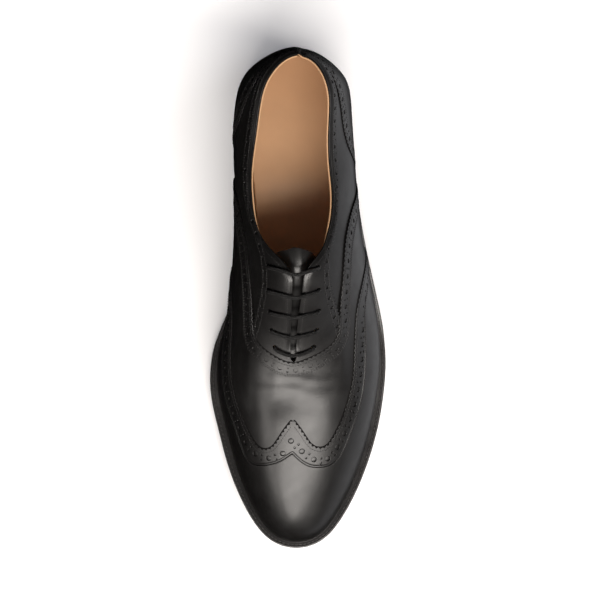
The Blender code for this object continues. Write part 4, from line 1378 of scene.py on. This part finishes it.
    def build_wings(self) -> None:
        """Make the wing tip with its gimped edge, raised band and perforations."""
        self.band_line = LAST.spaced(self.band, 0.0012)
        teeth = [
            gimp(line, self.tooth_pitch, -self.tooth_depth) for line in (self.cap_inner, self.cap_outer)
        ]
        border = [tuple(p) for p in teeth[0]] + [tuple(p) for p in teeth[1][1:]]
        border += feather(CAP_OUTER[-1][0], 0.0, 1)[1:-1] + toe_fold()
        border += feather(0.0, CAP_INNER[0][0], -1)[1:-1]
        top = level(self.cap_top + self.band_rise)
        rings = []
        for line, start in ((WING_PUNCH_OUTER, 0.0), (WING_PUNCH_INNER, WING_HOLES[0])):
            rings += self.punch(Punches(line, *WING_HOLES, start=start, end=0.004), top)
        rows = [LAST.shift(self.band_line, aside)[1:-1] for aside in BAND_ROWS]
        low = np.linspace(*FEATHER_ROW_SPAN)
        rows += [np.column_stack([low, np.full(len(low), v)]) for v in FEATHER_ROWS]
        pattern = Pattern([np.array(border)], rows=rows, rings=rings, step=0.0020)
        self.add(Sheet("wing_leather", pattern, self.cap_height, self.bed, self.calf), "wing_cap")
        for line, sign in ((self.cap_inner, -1), (self.cap_outer, 1)):
            moved = LAST.shift(line, WING_STITCHES)
            self.stitch(moved[moved[:, 1] * sign > PEAK_FREE], top)
            inner_end = slice(3, None) if sign < 0 else slice(None, -3)
            # A strip of painted shade shows dark between the teeth of the wing's edge
            self.strip(f"wing_shade_strip_{sign + 2}", line[inner_end], -1, self.vamp_height)
        self.stitch(LAST.shift(self.band_line, BAND_STITCHES), top)

    def build_tongue(self) -> None:
        """Make the tongue and its lining, which drop behind the lacing."""
        edge = LAST.spaced(trace(TONGUE_EDGE), 0.002)[:-1]
        start, end = TONGUE_RISE

        def at(base: float) -> Height:
            """Make a height that drops behind the laces' inner runs."""
            return lambda u, v: base - self.tongue_drop * ease((u - start) / (end - start))

        face = Sheet("tongue_leather", Pattern([edge]), at(-0.0020), at(-0.0030), self.calf, 0.0004)
        face.soften = self.tongue_soften
        self.add(face, "tongue")
        back = Sheet("tongue_lining", Pattern([edge]), at(-0.00302), at(-0.0038), self.tan)
        back.seen_inside = True
        back.soften = self.tongue_soften
        self.add(back, slot="lining_leather")

    def build_trim(self, trees: Trees) -> None:
        """Make the stitching and the floors of the perforations."""
        thread = {"Material": THREAD.material()}
        paths, places = self.rows.mesh("stitch_paths"), self.spots.mesh("punch_places")
        settle(trees.run("upper_stitching", trees.rows, paths, thread), "lace")
        settle(trees.run("punch_floors", trees.dots, places, {"Material": self.calf}), "calf")


def tube(rings: int, count: int, looped: bool = False, ends: bool = False) -> list[tuple[int, ...]]:
    """Give the faces that join rings of points in order.

    Args:
        rings: How many rings there are.
        count: How many points each ring has.
        looped: Whether the last ring joins the first.
        ends: Whether a face closes each end.

    Returns:
        The faces, as places in the list of points.
    """
    faces = []
    for ring in range(rings if looped else rings - 1):
        a, b = ring * count, (ring + 1) % rings * count
        for i in range(count):
            j = (i + 1) % count
            faces.append((a + i, a + j, b + j, b + i))
    if ends:
        last = (rings - 1) * count
        faces += [tuple(range(count - 1, -1, -1)), tuple(range(last, last + count))]
    return faces


@dataclass
class Lacing:
    """The straight-bar lace, a cord of one length that is held all the way."""

    radius: float = 0.0011
    bend: float = 0.0017
    lane: float = 0.0028
    over: float = 0.0028
    below: float = -0.0033
    bar_steps: int = 8
    sags: tuple[float, ...] = (-0.006, -0.002, 0.0, 0.005, 0.010)
    sides: int = 12
    step: float = 0.0006

    def spot(self, row: float, side: Side, lane: float, height: float) -> tuple[float, float, float]:
        """Give a point by a lace hole; rows count from 0 at the top, and may lie between."""
        rows = range(len(EYELETS))
        u, v = (np.interp(row, rows, [hole[side.hole + i] for hole in EYELETS]) for i in (0, 1))
        per_v = np.linalg.norm(LAST.rates(np.array([u]), np.array([v]))[1])
        return u, v + side.sign * lane * self.lane / per_v, height

    def route(self) -> list[np.ndarray]:
        """Give the points of the route, straight bars outside and runs inside."""
        inner, outer = Side.INNER, Side.OUTER
        below, spot = self.below, self.spot

        def bar(row: float, first: Side) -> list[tuple[float, float, float]]:
            """Cross the throat from one hole to the other."""
            last = outer if first is inner else inner
            ends = np.array(spot(row, first, 0, self.over)), np.array(spot(row, last, 0, self.over))
            shares = np.linspace(0, 1, self.bar_steps + 1)[:, None]
            points = ends[0] + (ends[1] - ends[0]) * shares
            points[:, 0] -= self.sags[row] * np.sin(math.pi * shares[:, 0])
            return [tuple(point) for point in points]

        route = [spot(-0.1, inner, 1, below), spot(0.5, inner, 1, below), spot(1, inner, 0, below)]
        route += bar(1, inner) + [spot(1, outer, 0, below)]
        route += [spot(1.6, outer, 1, below), spot(2, outer, 1, below), spot(3, outer, 0, below)]
        route += bar(3, outer) + [spot(3, inner, 0, below), spot(4, inner, 0, below)]
        route += bar(4, inner) + [spot(4, outer, 0, below)]
        route += [spot(3.4, outer, -1, below), spot(3, outer, -1, below), spot(2, outer, 0, below)]
        route += bar(2, outer) + [spot(2, inner, 0, below)]
        route += [spot(1.4, inner, -1, below), spot(1, inner, -1, below), spot(0, inner, 0, below)]
        route += bar(0, inner) + [spot(0, outer, 0, below), spot(0.45, outer, 0, below)]
        u, v, height = np.array(route).T
        return list(LAST.skin(u, v, height))

    def rounded(self, points: list[np.ndarray]) -> np.ndarray:
        """Round the sharp corners of a path and space its points evenly."""
        path = [points[0]]
        for back, here, ahead in zip(points, points[1:], points[2:]):
            arrive, leave = unit(here - back), unit(ahead - here)
            angle = math.acos(np.clip(arrive @ leave, -1, 1))
            if angle < math.radians(STRAIGHT_ANGLE):
                path.append(here)
                continue
            room = 0.48 * min(np.linalg.norm(here - back), np.linalg.norm(ahead - here))
            cut = min(self.bend * math.tan(angle / 2), room)
            bend = cut / math.tan(angle / 2)
            centre = here + unit(leave - arrive) * bend / math.cos(angle / 2)
            start, end = here - arrive * cut - centre, here + leave * cut - centre
            for share in np.linspace(0, 1, 9):
                weights = math.sin((1 - share) * angle), math.sin(share * angle)
                path.append(centre + (start * weights[0] + end * weights[1]) / math.sin(angle))
        path.append(points[-1])
        path = np.array(path)
        run = run_of(path)
        return on_path(np.linspace(0, run[-1], round(run[-1] / self.step) + 1), run, path)

    def build(self) -> None:
        """Make the lace as a round tube with a UV map that follows it."""
        path = self.rounded(self.route())
        along = unit(np.gradient(path, axis=0))
        side = np.cross(along[0], (0.0, 0.0, 1.0))
        rings = []
        angle = 2 * math.pi * np.arange(self.sides) / self.sides
        for here, direction in zip(path, along):
            side = unit(side - direction * (side @ direction))
            other = np.cross(direction, side)
            spokes = np.outer(np.cos(angle), side) + np.outer(np.sin(angle), other)
            rings.append(here + self.radius * spokes)
        faces = tube(len(path), self.sides, ends=True)
        item = make_object("lace", np.concatenate(rings), faces, CORD.material())
        uv = np.zeros((len(item.data.loops), 2))
        length = self.step / (2 * math.pi * self.radius) * self.sides
        for k in range((len(path) - 1) * self.sides):
            ring, i = divmod(k, self.sides)
            start, end = ring * length, ring * length + length
            uv[4 * k : 4 * k + 4] = (start, i), (start, i + 1), (end, i + 1), (end, i)
        item.data.uv_layers.new(name="cord").data.foreach_set("uv", uv.ravel())
        settle(item, "lace", "laces")


@dataclass
class Sole:
    """Welt, outsole, heel and sock, all cut to the outline of the sole."""

    steps: int = 180
    insole: float = 0.0030
    insole_gap: float = 0.0009
    top_lift: float = 0.0060
    heel_taper: float = 0.0016
    breast_depth: float = 0.006
    breast_steps: int = 24
    welt_inside: float = 0.0060
    heel_lifts: int = 4
    heel_steps: int = 100
    notch: float = 0.00022
    stitched_share: float = 0.80
    stitch_steps: int = 900

    def __post_init__(self) -> None:
        """Take the finishes that the pieces share."""
        self.edge = SOLE_EDGE.material()
        self.turns = np.arange(2 * self.steps) * math.pi / self.steps
        self.shares = (1 - np.cos(self.turns)) / 2

    def ring(self, inset: float | np.ndarray, height: Callable, rise: float) -> np.ndarray:
        """Give the points round the sole at an inset and a height."""
        plan = LAST.outline(self.turns, np.broadcast_to(inset, len(self.turns)))
        return np.column_stack([plan, height(plan[:, 1]) + rise])

    def band(self, name: str, rings: list[np.ndarray], closed: bool) -> bpy.types.Object:
        """Skin rings in order: either round into a loop or closed by faces across the sole."""
        count = len(rings[0])
        faces = tube(len(rings), count, looped=closed)
        if not closed:
            last = (len(rings) - 1) * count
            for first, turn in ((0, -1), (last, 1)):
                rungs = [(first, first + 1, first + count - 1)]
                half = count // 2
                for i in range(1, half - 1):
                    rungs.append((first + i, first + i + 1, first + count - i - 1, first + count - i))
                rungs.append((first + half - 1, first + half, first + half + 1))
                faces += [rung[::turn] for rung in rungs]
        item = make_object(name, np.concatenate(rings), faces, self.edge)
        item.data.set_sharp_from_angle(angle=math.radians(SHARP_ANGLE))
        return item

    def build_welt(self) -> None:
        """Make the welt with its stitch channel and rounded edge."""
        top, low = LAST.welt_top, lambda y: LAST.sole_top(y) + LAST.gap
        under = LAST.margin(self.shares) + self.welt_inside
        profile = [(0.0, low, 0.0), (0.0, top, -0.0007), (0.0002, top, -0.0003), (0.0007, top, 0.0)]
        profile += [(0.0014, top, 0.0), (0.0017, top, -0.0003), (0.0023, top, -0.0003)]
        profile += [(0.0026, top, 0.0), (under, top, 0.0), (under, low, 0.0)]
        rings = [self.ring(*row) for row in profile]
        settle(self.band("welt_leather", rings, closed=True), "sole_leather", "welt")

    def build_outsole(self) -> None:
        """Make the outsole with its rounded, slightly beaded edge."""
        tread, top = LAST.tread, LAST.sole_top
        profile = [(0.0060, tread, 0.0), (0.0012, tread, 0.0), (0.0004, tread, 0.0004)]
        profile += [(0.0, tread, 0.0012), (0.0, top, -0.0006), (0.0004, top, 0.0)]
        rings = [self.ring(*row) for row in profile + [(0.0060, top, 0.0)]]
        settle(self.band("outsole_leather", rings, closed=False), "sole_leather", "outsole")

    def build_sock(self) -> None:
        """Make the tan sock inside."""
        inset = LAST.margin(self.shares) + 0.0017 + self.insole_gap
        base = LAST.welt_top
        low, high = LAST.gap, LAST.gap + self.insole
        profile = [(0.0, low), (0.0, high - 0.0006), (0.0005, high), (0.0080, high)]
        rings = [self.ring(inset + aside, base, rise) for aside, rise in profile]
        item = self.band("sock", rings, closed=False)
        item.data.materials[0] = LINING.material()
        settle(item, "lining_leather", "insole")

    def heel_ring(self, inset: float, height: float) -> np.ndarray:
        """Give the points of a heel lift: round the back, then along the hollow breast."""
        corner = LAST.turn_of(LAST.breast)
        turns = np.linspace(corner, 2 * math.pi - corner, self.heel_steps)
        back = LAST.outline(turns, np.full(len(turns), inset))
        across = np.linspace(0, 1, self.breast_steps)[1:-1, None]
        front = back[-1] + (back[0] - back[-1]) * across
        front[:, 1] += self.breast_depth * np.sin(math.pi * across[:, 0])
        plan = np.concatenate([back, front])
        return np.column_stack([plan, np.full(len(plan), height)])

    def heel(
        self, name: str, profile: list[tuple[float, float]], material: bpy.types.Material
    ) -> bpy.types.Object:
        """Skin the rings of a heel piece and close it above and below."""
        rings = [self.heel_ring(inset, height) for inset, height in profile]
        faces = tube(len(rings), len(rings[0]), ends=True)
        item = make_object(name, np.concatenate(rings), faces, material)
        item.data.set_sharp_from_angle(angle=math.radians(SHARP_ANGLE))
        return item

    def build_heel(self) -> None:
        """Make the stacked heel with its lift lines, and the rubber top lift."""
        low, high = self.top_lift + LAST.gap, LAST.heel_pitch - LAST.gap
        each = (high - low) / self.heel_lifts
        profile = []
        for i in range(self.heel_lifts):
            base = low + i * each
            inset = self.heel_taper * (1 - (base - low) / (high - low))
            top = base + each
            profile += [(inset + self.notch, base + 0.00002), (inset, base + 0.0003)]
            inset -= self.heel_taper / self.heel_lifts
            profile += [(inset, top - 0.0003), (inset + self.notch, top - 0.00002)]
        settle(self.heel("heel_lifts", profile, self.edge), "sole_leather", "heel_stack")
        taper = self.heel_taper
        profile = [(taper + 0.0006, 0.0), (taper, 0.0006), (taper, self.top_lift - 0.0003)]
        profile.append((taper + 0.0003, self.top_lift))
        settle(self.heel("rubber_lift", profile, RUBBER.material()), "heel_rubber", "top_lift")

    def build_stitches(self, trees: Trees) -> None:
        """Lay the welt's lock stitches in their channel, and the wheel marks outside it."""
        corner = math.pi * self.stitched_share
        turns = np.linspace(-corner, corner, self.stitch_steps)
        for name, inset, rise, sizes in (
            ("welt_stitching", 0.0020, -0.0002, (0.0026, 0.0021, 0.0008, 0.0006)),
            ("wheel_marks", 0.0010, -0.00005, (0.0013, 0.0005, 0.0011, 0.00035)),
        ):
            plan = LAST.outline(turns, np.full(len(turns), inset))
            points = np.column_stack([plan, LAST.welt_top(plan[:, 1]) + rise])
            rows = Places()
            slope = np.gradient(points, axis=0)
            aside = np.cross(slope, (0.0, 0.0, 1.0))
            rows.add(points, unit(np.cross(aside, slope)))
            values = dict(zip(("Pitch", "Length", "Width", "Height"), sizes))
            # The welt's stitches take the lighter thread, which paints their glints
            values["Material"] = WELT_THREAD_AND_GLINT.material() if name == "welt_stitching" else self.edge
            made = trees.run(name, trees.rows, rows.mesh(name + "_path"), values)
            settle(made, "lace" if name == "welt_stitching" else "sole_leather")

    def build(self, trees: Trees) -> None:
        """Make every piece of the sole."""
        self.build_welt()
        self.build_outsole()
        self.build_sock()
        self.build_heel()
        self.build_stitches(trees)


def settle(item: bpy.types.Object, slot: str, *nodes: str) -> None:
    """Set a piece to ride on the shoe, and hide the nodes that it stands for."""
    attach(item, "root")
    if nodes:
        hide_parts(*nodes)
    LOG.info("%s: %d faces", item.name, len(item.data.polygons))


@dataclass
class Studio:
    """The pale floor, the soft lights and the camera over the shoe."""

    aim: tuple[float, float, float] = (0.0, 0.0, 0.03)
    height: float = 1.5
    offset: tuple[float, float] = (-0.0735, 0.032)
    span: float = 0.36

    @staticmethod
    def plane(name: str, size: float, place: Sequence[float], inputs: dict) -> bpy.types.Object:
        """Lay a plane.

        Args:
            name: Name of the plane and of its material.
            size: Length of its sides.
            place: Where its middle lies.
            inputs: Values of its shader's inputs.

        Returns:
            The plane.
        """
        bpy.ops.mesh.primitive_plane_add(size=size, location=place)
        made = bpy.context.object
        made.name = name
        finish = bpy.data.materials.new(name)
        finish.use_nodes = True
        fill(finish.node_tree, finish.node_tree.nodes["Principled BSDF"], inputs)
        made.data.materials.append(finish)
        return made

    def floor(self) -> None:
        """Lay the floor."""
        pale = {"Base Color": (0.95, 0.95, 0.955, 1.0), "Roughness": 0.8}
        plane = self.plane("floor", 8.0, (0.0, 0.0, 0.0), pale)
        plane.visible_glossy = False

    def bounce(self) -> None:
        """Lay a white card beside the outer side, which shows only in the gloss."""
        glow = {"Base Color": (0.0, 0.0, 0.0, 1.0), "Emission Color": (0.97, 0.97, 1.0, 1.0)}
        glow["Emission Strength"] = 0.5
        card = self.plane("bounce_card", 1.0, (0.66, 0.0, -0.002), glow)
        card.scale = (1.2, 1.6, 1.0)
        card.visible_camera = False
        card.visible_diffuse = False
        card.visible_shadow = False

    def light(
        self,
        name: str,
        place: Sequence[float],
        size: Sequence[float],
        power: float,
        colour: Sequence[float],
        mirrored: bool = False,
    ) -> None:
        """Hang a soft area light that faces the shoe; only a mirrored one shows in the gloss."""
        lamp = bpy.data.lights.new(name, "AREA")
        lamp.shape = "RECTANGLE"
        lamp.size, lamp.size_y = size
        lamp.energy = power
        lamp.color = colour
        item = bpy.data.objects.new(name, lamp)
        item.location = place
        item.visible_glossy = mirrored
        item.rotation_euler = (Vector(self.aim) - Vector(place)).to_track_quat("-Z", "Y").to_euler()
        bpy.context.scene.collection.objects.link(item)

    def build(self) -> None:
        """Set the floor, the lights, the soft surround and the camera."""
        self.floor()
        self.bounce()
        warm, plain = (1.0, 0.95, 0.90), (0.95, 0.96, 1.0)
        self.light("key_softbox", (0.34, -0.90, 1.46), (2.6, 0.75), 64.0, warm, mirrored=True)
        self.light("side_softbox", (1.7, 0.5, 1.0), (1.2, 1.2), 12.0, plain)
        self.light("far_fill", (-1.36, -0.98, 1.26), (1.0, 0.7), 10.0, warm, mirrored=True)
        self.surround()
        self.camera()

    @staticmethod
    def surround() -> None:
        """Set the soft surround, which doesn't show in the gloss."""
        world = bpy.data.worlds.new("studio")
        world.use_nodes = True
        cool = {"Color": (0.86, 0.88, 1.0, 1.0), "Strength": 0.16}
        fill(world.node_tree, world.node_tree.nodes["Background"], cool)
        world.cycles_visibility.glossy = False
        bpy.context.scene.world = world
        bpy.context.scene.view_settings.view_transform = "Standard"

    def camera(self) -> None:
        """Set the camera over the shoe."""
        lens = bpy.data.cameras.new("overhead")
        lens.sensor_width = 36.0
        place, target = Vector((*self.offset, self.height)), Vector(self.aim)
        lens.lens = lens.sensor_width * (place - target).length / self.span
        back = (place - target).normalized()
        right = Vector((0.0, 1.0, 0.0)).cross(back).normalized()
        turn = Matrix((right, back.cross(right), back)).transposed()
        camera = bpy.data.objects.new("overhead", lens)
        camera.matrix_world = Matrix.Translation(place) @ turn.to_4x4()
        bpy.context.scene.collection.objects.link(camera)
        bpy.context.scene.camera = camera


def main() -> None:
    """Build the shoe, its sole first, then the studio."""
    logging.basicConfig(level=logging.INFO, format="%(name)s: %(message)s")
    trees = Trees()
    Sole().build(trees)
    upper = Upper()
    upper.build_quarters()
    upper.build_counter()
    upper.build_facings()
    upper.build_vamp()
    upper.build_wings()
    upper.build_tongue()
    upper.build_trim(trees)
    Lacing().build()
    Studio().build()


if __name__ == "__main__":
    main()
